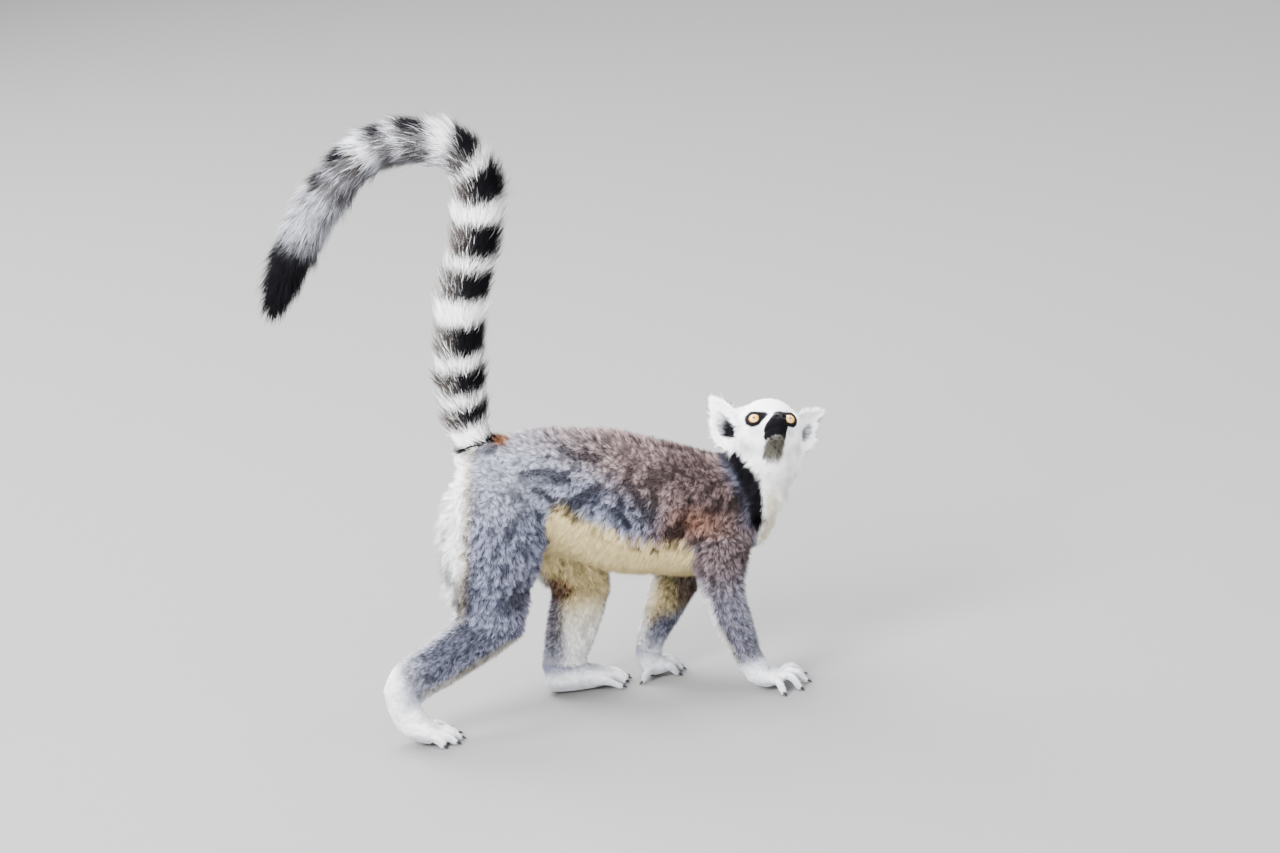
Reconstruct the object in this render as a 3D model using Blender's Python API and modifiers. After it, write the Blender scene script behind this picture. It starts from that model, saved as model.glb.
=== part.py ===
"""Ring-tailed lemur, a still life-size model that walks with head turned and tail raised.

The frame is in metres with +Z up. The animal faces +X, its left side is towards +Y, and its
hands and feet stand on the floor at z = 0. Every shape is the outline of the coat, out to the
tips of the hair. The body is blended into one mass from simple lofts and ellipsoids, then
parted by thin saw cuts at the neck, shoulders, hips, elbows, knees, wrists, ankles and along
the tail. The ears are thin cupped shells, and the eyes are balls in cut sockets.
"""

import math

import bmesh
import bpy
import numpy as np
from mathutils import Matrix, Vector

# Widths of the joints between the parts.
SAW_CUT = 0.0004
SOCKET_GAP = 0.0003
EAR_GAP = 0.0004

# Fineness of the blended body and of the finished solids. The head, the hands and the feet
# keep more triangles than the rest, and the head is smoothed further.
BLEND_CELL = 0.0019
BLEND_SMOOTHING = 7
HEAD_SMOOTHING = 9
BODY_TRIANGLES = 4950
HEAD_CENTRE = (0.204, -0.036, 0.265)
HEAD_REACH = 0.056
HAND_HEIGHT = 0.022
DETAIL_WEIGHT = 0.5
DETAIL_FACTOR = 0.02
EYE_SEGMENTS = 12
EYE_RINGS = 8
SMOOTHING_FACTOR = 0.5

# Lofts: points along each span, points around, the reach of a rounded end as a share of the
# section's smaller half size, and the angles of the rings that close it.
LOFT_STEPS = 5
LOFT_TURNS = 22
TAIL_STEPS = 6
DIGIT_STEPS = 4
DIGIT_TURNS = 12
END_REACH = 0.8
NEARLY_PARALLEL = 0.75
END_ANGLES = (25.0, 50.0, 75.0)

# Trunk, from rump to chest: x, y, z of the middle, half width, half depth.
TRUNK_SECTION_UP = (0.154, 0.0, 0.988)
TRUNK = [
    (-0.094, 0.000, 0.262, 0.026, 0.026),
    (-0.072, 0.000, 0.238, 0.040, 0.054),
    (-0.037, 0.000, 0.231, 0.048, 0.065),
    (0.002, 0.000, 0.222, 0.051, 0.070),
    (0.045, 0.000, 0.206, 0.054, 0.076),
    (0.088, 0.000, 0.193, 0.053, 0.072),
    (0.127, 0.000, 0.181, 0.049, 0.067),
    (0.160, 0.000, 0.178, 0.044, 0.055),
    (0.177, -0.002, 0.176, 0.035, 0.041),
]

# Neck, from inside the chest to inside the head.
NECK = [
    (0.150, 0.000, 0.186, 0.040, 0.046),
    (0.177, -0.004, 0.202, 0.038, 0.041),
    (0.197, -0.012, 0.225, 0.036, 0.038),
    (0.204, -0.018, 0.246, 0.032, 0.034),
]

# Throat, from under the chin into the chest.
THROAT = [
    (0.2005, -0.0380, 0.2340, 0.021, 0.022),
    (0.1975, -0.0350, 0.2130, 0.024, 0.025),
    (0.1860, -0.0270, 0.1940, 0.026, 0.027),
    (0.1720, -0.0180, 0.1760, 0.027, 0.029),
]

# Tail, from the rump up, over the arch and down to the tip: x, y, z and radius.
TAIL = [
    (-0.072, 0.000, 0.262, 0.028),
    (-0.087, 0.000, 0.306, 0.0265),
    (-0.086, 0.000, 0.368, 0.028),
    (-0.075, 0.000, 0.432, 0.029),
    (-0.051, 0.001, 0.500, 0.028),
    (-0.040, 0.002, 0.552, 0.027),
    (-0.058, 0.002, 0.590, 0.026),
    (-0.103, 0.001, 0.606, 0.0255),
    (-0.150, 0.000, 0.597, 0.026),
    (-0.194, -0.001, 0.560, 0.026),
    (-0.228, -0.002, 0.514, 0.0225),
    (-0.247, -0.002, 0.484, 0.0165),
    (-0.255, -0.002, 0.468, 0.0075),
]

# Legs: x, y, z of the middle, half thickness across the body, half width fore and aft.
# The right side is the one whose legs stand furthest apart.
RIGHT_THIGH = [
    (-0.064, -0.022, 0.258, 0.022, 0.044),
    (-0.074, -0.038, 0.228, 0.029, 0.053),
    (-0.084, -0.045, 0.186, 0.031, 0.053),
    (-0.090, -0.049, 0.150, 0.029, 0.047),
    (-0.084, -0.050, 0.124, 0.026, 0.033),
]
RIGHT_SHANK = [
    (-0.084, -0.050, 0.122, 0.026, 0.031),
    (-0.112, -0.050, 0.104, 0.025, 0.029),
    (-0.150, -0.050, 0.084, 0.022, 0.0265),
    (-0.180, -0.049, 0.070, 0.019, 0.025),
    (-0.196, -0.048, 0.056, 0.017, 0.021),
]
RIGHT_FOOT = [
    (-0.195, -0.048, 0.060, 0.017, 0.020),
    (-0.196, -0.048, 0.040, 0.0155, 0.017),
    (-0.189, -0.048, 0.022, 0.017, 0.016),
    (-0.174, -0.049, 0.0095, 0.018, 0.0115),
]
LEFT_THIGH = [
    (-0.060, 0.022, 0.245, 0.022, 0.044),
    (-0.046, 0.038, 0.212, 0.028, 0.050),
    (-0.028, 0.045, 0.172, 0.029, 0.045),
    (-0.010, 0.049, 0.138, 0.027, 0.038),
    (0.002, 0.050, 0.114, 0.025, 0.031),
]
LEFT_SHANK = [
    (0.000, 0.050, 0.112, 0.025, 0.031),
    (-0.012, 0.049, 0.082, 0.023, 0.0295),
    (-0.025, 0.045, 0.052, 0.020, 0.0265),
    (-0.037, 0.042, 0.026, 0.017, 0.021),
]
LEFT_FOOT = [
    (-0.046, 0.041, 0.014, 0.013, 0.0135),
    (-0.030, 0.041, 0.014, 0.0155, 0.0150),
    (-0.010, 0.041, 0.0125, 0.0165, 0.0135),
    (0.005, 0.042, 0.0105, 0.0175, 0.0115),
]
RIGHT_ARM = [
    (0.150, -0.022, 0.188, 0.020, 0.034),
    (0.144, -0.036, 0.155, 0.025, 0.032),
    (0.138, -0.044, 0.126, 0.025, 0.027),
    (0.139, -0.047, 0.100, 0.0215, 0.0225),
    (0.145, -0.047, 0.070, 0.019, 0.0205),
    (0.151, -0.046, 0.045, 0.016, 0.0170),
    (0.158, -0.046, 0.024, 0.013, 0.0135),
]
LEFT_ARM = [
    (0.148, 0.022, 0.176, 0.020, 0.034),
    (0.124, 0.034, 0.140, 0.025, 0.030),
    (0.096, 0.043, 0.104, 0.024, 0.0265),
    (0.077, 0.046, 0.072, 0.020, 0.0215),
    (0.060, 0.046, 0.043, 0.016, 0.0165),
    (0.052, 0.046, 0.022, 0.0125, 0.0130),
]
RIGHT_PALM = [
    (0.157, -0.046, 0.020, 0.0125, 0.0120),
    (0.167, -0.045, 0.012, 0.0150, 0.0105),
    (0.179, -0.044, 0.010, 0.0150, 0.0085),
]
LEFT_PALM = [
    (0.051, 0.046, 0.020, 0.0120, 0.0120),
    (0.055, 0.046, 0.011, 0.0140, 0.0110),
    (0.066, 0.046, 0.010, 0.0140, 0.0085),
]

# Fingers and toes: root, knuckle and tip. The tips are sunk a little into the floor, which
# cuts a small flat on each.
KNUCKLE_RADIUS = 0.0050
TIP_RADIUS = 0.0042
TIP_HEIGHT = 0.0023
RIGHT_FINGERS = [
    ((0.173, -0.054, 0.010), (0.178, -0.064, 0.013), (0.182, -0.075)),
    ((0.180, -0.051, 0.010), (0.191, -0.059, 0.015), (0.199, -0.067)),
    ((0.182, -0.045, 0.010), (0.195, -0.046, 0.015), (0.207, -0.048)),
    ((0.180, -0.038, 0.010), (0.193, -0.030, 0.015), (0.205, -0.025)),
    ((0.168, -0.037, 0.010), (0.176, -0.026, 0.013), (0.183, -0.017)),
]
LEFT_FINGERS = [
    ((0.060, 0.054, 0.010), (0.069, 0.063, 0.0125), (0.077, 0.069)),
    ((0.065, 0.051, 0.010), (0.074, 0.056, 0.014), (0.083, 0.060)),
    ((0.066, 0.046, 0.010), (0.076, 0.047, 0.014), (0.085, 0.048)),
    ((0.064, 0.040, 0.010), (0.072, 0.037, 0.0135), (0.080, 0.034)),
    ((0.057, 0.038, 0.010), (0.050, 0.031, 0.010), (0.044, 0.026)),
]
RIGHT_TOES = [
    ((-0.176, -0.059, 0.009), (-0.170, -0.066, 0.010), (-0.163, -0.073)),
    ((-0.171, -0.056, 0.009), (-0.160, -0.062, 0.010), (-0.150, -0.068)),
    ((-0.168, -0.050, 0.009), (-0.156, -0.053, 0.010), (-0.145, -0.055)),
    ((-0.170, -0.044, 0.009), (-0.159, -0.041, 0.010), (-0.148, -0.039)),
    ((-0.178, -0.038, 0.010), (-0.169, -0.028, 0.013), (-0.156, -0.021)),
]
LEFT_TOES = [
    ((0.002, 0.052, 0.009), (0.011, 0.057, 0.010), (0.020, 0.061)),
    ((0.006, 0.048, 0.009), (0.017, 0.052, 0.010), (0.027, 0.054)),
    ((0.007, 0.043, 0.009), (0.018, 0.044, 0.010), (0.0285, 0.045)),
    ((0.005, 0.038, 0.009), (0.015, 0.037, 0.010), (0.025, 0.0355)),
    ((-0.010, 0.031, 0.009), (0.007, 0.024, 0.010), (0.022, 0.021)),
]

# Head: its frame has the origin between the eyes, and axes forward, left and up.
HEAD_ORIGIN = Vector((0.212, -0.034, 0.277))
HEAD_AZIMUTH = math.radians(-73.8)
HEAD_ELEVATION = math.radians(36.2)
HEAD_ROLL = math.radians(15.6)
# Ellipsoids: forward, left, up of the middle, then the three half sizes. Left means both sides.
HEAD_MASSES = [
    (-0.023, 0.000, 0.000, 0.029, 0.031, 0.0275),
    (-0.027, 0.021, 0.012, 0.014, 0.011, 0.0105),
    (-0.011, 0.000, 0.009, 0.013, 0.025, 0.0160),
    (-0.017, 0.0165, -0.015, 0.019, 0.0155, 0.0150),
    (-0.0115, 0.0215, 0.000, 0.0105, 0.0110, 0.0110),
    (-0.014, 0.000, -0.026, 0.024, 0.022, 0.0170),
    (-0.036, 0.000, -0.030, 0.026, 0.028, 0.0220),
    (-0.024, 0.000, -0.042, 0.024, 0.024, 0.0200),
    (0.004, 0.008, -0.017, 0.012, 0.0085, 0.0085),
    (0.020, 0.0058, -0.0180, 0.013, 0.0064, 0.0062),
    (0.0375, 0.000, -0.0110, 0.0048, 0.0066, 0.0050),
]
MUZZLE = [
    (-0.012, 0.000, -0.004, 0.0105, 0.0150),
    (0.003, 0.000, -0.007, 0.0090, 0.0125),
    (0.018, 0.000, -0.0120, 0.0095, 0.0105),
    (0.030, 0.000, -0.0145, 0.0090, 0.0098),
    (0.0365, 0.000, -0.0145, 0.0072, 0.0075),
]
JAW = [
    (-0.014, 0.000, -0.0270, 0.0160, 0.0090),
    (0.006, 0.000, -0.0265, 0.0115, 0.0070),
    (0.020, 0.000, -0.0255, 0.0090, 0.0060),
    (0.0275, 0.000, -0.0240, 0.0060, 0.0045),
]
EYE_RADIUS = 0.0080
EYE_SIDE = 0.0175
EYE_FORWARD = -0.0052
EYE_UP = 0.000

# Ears: the head frame's forward, left, up of points along the inner and the outer edge, from
# the bottom to the tip. Each ear turns on its own, so the two aren't mirrored.
EAR_THICKNESS = 0.0032
EAR_CUP = 0.010
EAR_CUP_START = 0.18
EAR_CUP_END = 0.98
EAR_CUP_FULLNESS = 0.7
EAR_STEPS = 3
EAR_COLUMNS = 6
RIGHT_EAR_INNER = [(-0.030, -0.030, -0.020), (-0.024, -0.028, 0.003), (-0.026, -0.033, 0.022),
                   (-0.038, -0.0510, 0.0385)]
RIGHT_EAR_OUTER = [(-0.034, -0.040, -0.022), (-0.040, -0.0510, -0.008), (-0.041, -0.0535, 0.012),
                   (-0.040, -0.0525, 0.0390)]
LEFT_EAR_INNER = [(-0.030, 0.030, -0.020), (-0.024, 0.028, 0.000), (-0.026, 0.035, 0.0165),
                  (-0.038, 0.0600, 0.0265)]
LEFT_EAR_OUTER = [(-0.034, 0.041, -0.022), (-0.041, 0.052, -0.008), (-0.041, 0.0545, 0.0110),
                  (-0.040, 0.0640, 0.0235)]

# Saw cuts across a limb: the middle, the way the cut faces and the radius it reaches.
LIMB_CUTS = [
    ((0.200, -0.014, 0.238), (0.50, -0.25, 0.83), 0.066),
    ((0.178, 0.000, 0.205), (0.87, 0.00, 0.49), 0.064),
    ((-0.084, 0.000, 0.294), (-0.16, 0.00, 0.98), 0.036),
    ((-0.083, 0.000, 0.390), (0.10, 0.00, 0.99), 0.036),
    ((-0.053, 0.001, 0.494), (0.33, 0.00, 0.94), 0.036),
    ((-0.062, 0.002, 0.596), (-0.85, 0.00, 0.53), 0.036),
    ((-0.176, 0.000, 0.588), (-0.73, 0.00, -0.68), 0.036),
    ((-0.104, -0.050, 0.118), (-0.46, 0.00, -0.89), 0.056),
    ((-0.186, -0.048, 0.064), (-0.86, 0.00, -0.51), 0.034),
    ((-0.002, 0.050, 0.104), (-0.30, 0.00, -0.95), 0.046),
    ((-0.036, 0.048, 0.034), (-0.20, 0.00, -0.98), 0.032),
    ((0.138, -0.046, 0.112), (0.02, 0.00, -1.00), 0.034),
    ((0.155, -0.046, 0.034), (0.28, 0.00, -0.96), 0.022),
    ((0.090, 0.044, 0.094), (-0.56, 0.00, -0.83), 0.036),
    ((0.055, 0.046, 0.032), (-0.40, 0.00, -0.92), 0.022),
]
# Oblique saw cuts that part the thighs and upper arms from the trunk: three points on each.
OBLIQUE_CUTS = [
    ((-0.125, -0.032, 0.262), (0.000, -0.054, 0.192), (-0.070, -0.002, 0.160)),
    ((-0.100, 0.030, 0.250), (0.040, 0.054, 0.176), (-0.050, 0.002, 0.150)),
    ((0.130, -0.062, 0.175), (0.190, -0.040, 0.160), (0.140, -0.006, 0.104)),
    ((0.110, 0.060, 0.170), (0.180, 0.040, 0.150), (0.120, 0.006, 0.104)),
]
OBLIQUE_MARGIN = 0.012
SAW_SEGMENTS = 20

# Block below the floor: length, width and depth.
FLOOR_BLOCK = (0.8, 0.4, 0.05)

# Each solid takes the name of the point that lies nearest to its middle.
NODE_PLACES = {
    "head": (0.203, -0.028, 0.262),
    "neck": (0.185, -0.004, 0.208),
    "trunk": (0.030, 0.000, 0.212),
    "tail_root": (-0.087, 0.000, 0.340),
    "tail_lower": (-0.072, 0.000, 0.440),
    "tail_upper": (-0.042, 0.001, 0.550),
    "tail_arch": (-0.120, 0.001, 0.608),
    "tail_tip": (-0.215, -0.001, 0.540),
    "thigh_right": (-0.085, -0.048, 0.180),
    "shank_right": (-0.140, -0.050, 0.090),
    "foot_right": (-0.182, -0.050, 0.025),
    "thigh_left": (-0.030, 0.045, 0.165),
    "shank_left": (-0.018, 0.050, 0.066),
    "foot_left": (-0.010, 0.048, 0.014),
    "upper_arm_right": (0.143, -0.042, 0.135),
    "forearm_right": (0.146, -0.047, 0.070),
    "hand_right": (0.175, -0.046, 0.014),
    "upper_arm_left": (0.110, 0.040, 0.122),
    "forearm_left": (0.072, 0.046, 0.062),
    "hand_left": (0.062, 0.046, 0.014),
}

# Coat and eye colours: red, green, blue and roughness.
FINISHES = {
    "grey": ((0.230, 0.225, 0.235), 0.90),
    "brown": ((0.250, 0.200, 0.180), 0.90),
    "pale": ((0.760, 0.740, 0.700), 0.90),
    "dark": ((0.030, 0.028, 0.030), 0.85),
    "amber": ((0.850, 0.500, 0.090), 0.15),
}
NODE_FINISHES = {
    "head": "pale",
    "ear": "pale",
    "neck": "pale",
    "trunk": "brown",
    "tail_root": "pale",
    "tail_lower": "dark",
    "tail_upper": "pale",
    "tail_arch": "dark",
    "tail_tip": "grey",
    "thigh": "grey",
    "shank": "grey",
    "foot": "pale",
    "upper_arm": "brown",
    "forearm": "grey",
    "hand": "pale",
    "eye": "amber",
}


def clear_scene():
    """Remove every object that the file opened with."""
    for item in list(bpy.data.objects):
        bpy.data.objects.remove(item, do_unlink=True)


def new_collection(name):
    """Make a collection of this name in the scene."""
    collection = bpy.data.collections.new(name)
    bpy.context.scene.collection.children.link(collection)
    return collection


def mesh_object(name, mesh):
    """Link a mesh into the working collection as an object."""
    item = bpy.data.objects.new(name, mesh)
    WORKING.objects.link(item)
    return item


def evaluated_copy(item, name):
    """Return a new plain object that holds the item's mesh with its modifiers applied."""
    bpy.context.view_layer.update()
    graph = bpy.context.evaluated_depsgraph_get()
    mesh = bpy.data.meshes.new_from_object(item.evaluated_get(graph))
    mesh.transform(item.matrix_world)
    item.name = "source_of_" + name
    copy = mesh_object(name, mesh)
    bpy.data.objects.remove(item, do_unlink=True)
    return copy


def smooth_rows(rows, steps):
    """Run a Catmull-Rom curve through rows of numbers, with steps points in each span."""
    keys = np.array(rows, dtype=float)
    ends = np.vstack([2 * keys[0] - keys[1], keys, 2 * keys[-1] - keys[-2]])
    curve = []
    for span in range(len(keys) - 1):
        before, start, end, after = ends[span:span + 4]
        for step in range(steps):
            t = step / steps
            curve.append(0.5 * (2 * start + (end - before) * t
                                + (2 * before - 5 * start + 4 * end - after) * t ** 2
                                + (3 * start - before - 3 * end + after) * t ** 3))
    curve.append(keys[-1])
    return np.array(curve)


def ring_axes(tangent, section_up):
    """Return the two axes of a loft's section: across the body, and fore and aft."""
    if section_up is not None:
        up = Vector(section_up).normalized()
        return Vector((0.0, 1.0, 0.0)), up
    reference = Vector((0.0, 1.0, 0.0))
    if abs(tangent.dot(reference)) > NEARLY_PARALLEL:
        reference = Vector((1.0, 0.0, 0.0))
    across = (reference - tangent * tangent.dot(reference)).normalized()
    return across, tangent.cross(across).normalized()


def loft(name, stations, section_up=None, steps=LOFT_STEPS, turns=LOFT_TURNS, frame=None):
    """Skin ellipses along a smooth path into a closed mass with rounded ends."""
    rows = smooth_rows(stations, steps)
    rings = []
    last = len(rows) - 1
    for index, row in enumerate(rows):
        tangent = Vector(rows[min(index + 1, last)][:3] - rows[max(index - 1, 0)][:3]).normalized()
        centre = Vector(row[:3])
        across, deep = row[3], row[4]
        end_reach = END_REACH * min(across, deep)
        closing = [0.0]
        if index == 0:
            closing = [-angle for angle in reversed(END_ANGLES)] + closing
        elif index == last:
            closing = closing + list(END_ANGLES)
        for angle in closing:
            swing = math.radians(angle)
            side_axis, deep_axis = ring_axes(tangent, section_up)
            middle = centre + tangent * end_reach * math.sin(swing)
            scale = math.cos(swing)
            rings.append([middle + side_axis * across * scale * math.cos(turn)
                          + deep_axis * deep * scale * math.sin(turn)
                          for turn in np.linspace(0.0, 2.0 * math.pi, turns, endpoint=False)])
    shape = bmesh.new()
    loops = [[shape.verts.new(point) for point in ring] for ring in rings]
    for near, far in zip(loops[:-1], loops[1:]):
        for turn in range(turns):
            following = (turn + 1) % turns
            shape.faces.new((near[turn], near[following], far[following], far[turn]))
    shape.faces.new(loops[0])
    shape.faces.new(loops[-1])
    bmesh.ops.recalc_face_normals(shape, faces=shape.faces)
    mesh = bpy.data.meshes.new(name)
    shape.to_mesh(mesh)
    shape.free()
    if frame is not None:
        mesh.transform(frame)
    return mesh_object(name, mesh)


def round_stations(rows):
    """Turn rows of x, y, z, radius into stations with equal half sizes."""
    return [(x, y, z, radius, radius) for x, y, z, radius in rows]


def ellipsoid(name, centre, half_sizes, frame, segments=24, rings=14):
    """Make an ellipsoid from a sphere, placed in a frame."""
    shape = bmesh.new()
    bmesh.ops.create_uvsphere(shape, u_segments=segments, v_segments=rings, radius=1.0)
    place = frame @ Matrix.Translation(centre) @ Matrix.Diagonal((*half_sizes, 1.0))
    bmesh.ops.transform(shape, matrix=place, verts=shape.verts)
    mesh = bpy.data.meshes.new(name)
    shape.to_mesh(mesh)
    shape.free()
    return mesh_object(name, mesh)


def head_frame():
    """Return the matrix that takes forward, left, up of the head to the world."""
    forward = Vector((math.cos(HEAD_ELEVATION) * math.cos(HEAD_AZIMUTH),
                      math.cos(HEAD_ELEVATION) * math.sin(HEAD_AZIMUTH),
                      math.sin(HEAD_ELEVATION)))
    level_left = Vector((-math.sin(HEAD_AZIMUTH), math.cos(HEAD_AZIMUTH), 0.0))
    level_up = forward.cross(level_left)
    left = level_left * math.cos(HEAD_ROLL) - level_up * math.sin(HEAD_ROLL)
    up = forward.cross(left)
    frame = Matrix((forward, left, up)).transposed().to_4x4()
    frame.translation = HEAD_ORIGIN
    return frame


def digit(name, root, knuckle, tip):
    """Make one arched finger or toe that comes down to the floor at its tip."""
    stations = [(*root, KNUCKLE_RADIUS), (*knuckle, KNUCKLE_RADIUS),
                (*tip, TIP_HEIGHT, TIP_RADIUS)]
    return loft(name, round_stations(stations), steps=DIGIT_STEPS, turns=DIGIT_TURNS)


def head_masses(frame):
    """Make the overlapping masses of the skull, cheeks, muzzle and jaw."""
    masses = []
    for ahead, side, up, *half_sizes in HEAD_MASSES:
        for way in ((-1, 1) if side else (1,)):
            masses.append(ellipsoid("head_mass", (ahead, way * side, up), half_sizes, frame))
    masses.append(loft("muzzle", MUZZLE, frame=frame))
    masses.append(loft("jaw", JAW, frame=frame))
    return masses


def body_masses(frame):
    """Make every overlapping mass that the one body is blended from."""
    masses = [loft("trunk_mass", TRUNK, section_up=TRUNK_SECTION_UP), loft("neck_mass", NECK),
              loft("throat_mass", THROAT), loft("tail_mass", round_stations(TAIL), steps=TAIL_STEPS)]
    limbs = (RIGHT_THIGH, RIGHT_SHANK, RIGHT_FOOT, LEFT_THIGH, LEFT_SHANK, LEFT_FOOT,
             RIGHT_ARM, LEFT_ARM, RIGHT_PALM, LEFT_PALM)
    masses += [loft("limb_mass", limb) for limb in limbs]
    for digits in (RIGHT_FINGERS, LEFT_FINGERS, RIGHT_TOES, LEFT_TOES):
        masses += [digit("digit", *points) for points in digits]
    return masses + head_masses(frame)


def join(items, name):
    """Join plain mesh objects into one object, leaving their faces as they are."""
    shape = bmesh.new()
    for item in items:
        shape.from_mesh(item.data)
        bpy.data.objects.remove(item, do_unlink=True)
    mesh = bpy.data.meshes.new(name)
    shape.to_mesh(mesh)
    shape.free()
    return mesh_object(name, mesh)


def blended_body(frame):
    """Blend the masses into one smooth closed body of the wanted fineness."""
    body = join(body_masses(frame), "body")
    blend = body.modifiers.new("Blend", "REMESH")
    blend.mode = "VOXEL"
    blend.voxel_size = BLEND_CELL
    soften = body.modifiers.new("Soften", "SMOOTH")
    soften.factor = SMOOTHING_FACTOR
    soften.iterations = BLEND_SMOOTHING
    body = evaluated_copy(body, "body")
    soften_head(body)
    return thinned(body)


def is_head(point):
    """Tell whether a point lies on the head."""
    return (point - Vector(HEAD_CENTRE)).length < HEAD_REACH


def vertex_group(item, name, weight, wanted):
    """Group the vertices whose places are wanted."""
    group = item.vertex_groups.new(name=name)
    chosen = [vertex.index for vertex in item.data.vertices if wanted(vertex.co)]
    group.add(chosen, weight, "REPLACE")
    return group


def soften_head(body):
    """Smooth the head further, so that its masses flow into each other."""
    group = vertex_group(body, "head", 1.0, is_head)
    soften = body.modifiers.new("Soften head", "SMOOTH")
    soften.factor = SMOOTHING_FACTOR
    soften.iterations = HEAD_SMOOTHING
    soften.vertex_group = group.name


def thinned(body):
    """Thin the body to its count of triangles, least on the head, hands and feet."""
    body = evaluated_copy(body, "body")
    body.vertex_groups.clear()
    group = vertex_group(body, "detail", DETAIL_WEIGHT,
                         lambda point: is_head(point) or point.z < HAND_HEIGHT)
    body.data.calc_loop_triangles()
    thin = body.modifiers.new("Thin", "DECIMATE")
    thin.ratio = BODY_TRIANGLES / len(body.data.loop_triangles)
    thin.vertex_group = group.name
    thin.vertex_group_factor = DETAIL_FACTOR
    thin.invert_vertex_group = True
    return evaluated_copy(body, "body")


def value_for(table, name):
    """Return the entry of a table whose key is the longest one that the name starts with."""
    return table[max((key for key in table if name.startswith(key)), key=len)]


def subtract(item, cutter):
    """Cut one closed object out of another and move the cutter to its own collection."""
    cut = item.modifiers.new("Cut", "BOOLEAN")
    cut.operation = "DIFFERENCE"
    cut.solver = "EXACT"
    cut.object = cutter
    result = evaluated_copy(item, item.name)
    cutter.hide_render = True
    cutter.display_type = "WIRE"
    WORKING.objects.unlink(cutter)
    CUTTERS.objects.link(cutter)
    return result


def floor_block():
    """Make the block below the floor that leaves flats on hands and feet."""
    below = Matrix.Translation((0.0, 0.0, -FLOOR_BLOCK[2] / 2))
    shape = bmesh.new()
    bmesh.ops.create_cube(shape, size=1.0, matrix=below @ Matrix.Diagonal((*FLOOR_BLOCK, 1.0)))
    mesh = bpy.data.meshes.new("floor_block")
    shape.to_mesh(mesh)
    shape.free()
    return mesh_object("floor_block", mesh)


def saw_disc(centre, normal, radius):
    """Make a thin disc that saws through the body at a place."""
    shape = bmesh.new()
    bmesh.ops.create_cone(shape, cap_ends=True, segments=SAW_SEGMENTS, radius1=radius, radius2=radius,
                          depth=SAW_CUT)
    turn = Vector(normal).normalized().to_track_quat("Z", "Y").to_matrix().to_4x4()
    bmesh.ops.transform(shape, matrix=Matrix.Translation(centre) @ turn, verts=shape.verts)
    mesh = bpy.data.meshes.new("saw")
    shape.to_mesh(mesh)
    shape.free()
    return mesh_object("saw", mesh)


def oblique_saw(first, second, third):
    """Make a thin disc through three points, reaching a little past each."""
    points = [Vector(point) for point in (first, second, third)]
    centre = sum(points, Vector()) / 3
    normal = (points[1] - points[0]).cross(points[2] - points[0])
    radius = max((point - centre).length for point in points) + OBLIQUE_MARGIN
    return saw_disc(centre, normal, radius)


def eye_place(frame, way):
    """Return the middle of an eye, with way 1 for the left and -1 for the right."""
    return frame @ Vector((EYE_FORWARD, way * EYE_SIDE, EYE_UP))


def ball(name, centre, radius):
    """Make a faceted ball."""
    return ellipsoid(name, centre, (radius, radius, radius), Matrix.Identity(4),
                     segments=EYE_SEGMENTS, rings=EYE_RINGS)


def parted_solids(body):
    """Split the sawn body into its separate solids and name each by its place."""
    shape = bmesh.new()
    shape.from_mesh(body.data)
    shape.verts.ensure_lookup_table()
    unseen = set(shape.verts)
    solids = {}
    while unseen:
        start = unseen.pop()
        island = [start]
        for vertex in island:
            for edge in vertex.link_edges:
                other = edge.other_vert(vertex)
                if other in unseen:
                    unseen.discard(other)
                    island.append(other)
        low = Vector([min(v.co[axis] for v in island) for axis in range(3)])
        high = Vector([max(v.co[axis] for v in island) for axis in range(3)])
        middle = (low + high) / 2
        name = min(NODE_PLACES, key=lambda key: (Vector(NODE_PLACES[key]) - middle).length)
        solids[name] = solid_of(island, name)
    shape.free()
    bpy.data.objects.remove(body, do_unlink=True)
    return solids


def solid_of(island, name):
    """Copy one island of vertices and its faces into an object of its own."""
    number = {vertex: index for index, vertex in enumerate(island)}
    faces = {face for vertex in island for face in vertex.link_faces}
    ordered = sorted(faces, key=lambda face: face.index)
    mesh = bpy.data.meshes.new(name)
    mesh.from_pydata([vertex.co for vertex in island], [],
                     [[number[vertex] for vertex in face.verts] for face in ordered])
    return mesh_object(name, mesh)


def ear(name, frame, inner_points, outer_points):
    """Make a cupped ear between its inner and outer edge, thickened on both sides."""
    inner = smooth_rows(inner_points, EAR_STEPS)
    outer = smooth_rows(outer_points, EAR_STEPS)
    shape = bmesh.new()
    grid = []
    for inside, outside, share in zip(inner, outer, np.linspace(EAR_CUP_START, EAR_CUP_END,
                                                                len(inner))):
        cup = EAR_CUP * math.sin(math.pi * share) ** EAR_CUP_FULLNESS
        line = []
        for t in np.linspace(0.0, 1.0, EAR_COLUMNS):
            point = Vector(inside + (outside - inside) * t)
            point.x -= cup * math.sin(math.pi * t)
            line.append(shape.verts.new(frame @ point))
        grid.append(line)
    for low, high in zip(grid[:-1], grid[1:]):
        for column in range(EAR_COLUMNS - 1):
            shape.faces.new((low[column], low[column + 1], high[column + 1], high[column]))
    mesh = bpy.data.meshes.new(name)
    shape.to_mesh(mesh)
    shape.free()
    item = mesh_object(name, mesh)
    thicken = item.modifiers.new("Thicken", "SOLIDIFY")
    thicken.thickness = EAR_THICKNESS
    thicken.offset = 0.0
    return evaluated_copy(item, name)


def inflated(item, distance):
    """Copy an object with its surface moved outwards."""
    copy = mesh_object("inflated_" + item.name, item.data.copy())
    grow = copy.modifiers.new("Grow", "DISPLACE")
    grow.strength = distance
    grow.mid_level = 0.0
    return evaluated_copy(copy, "around_" + item.name)


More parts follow.
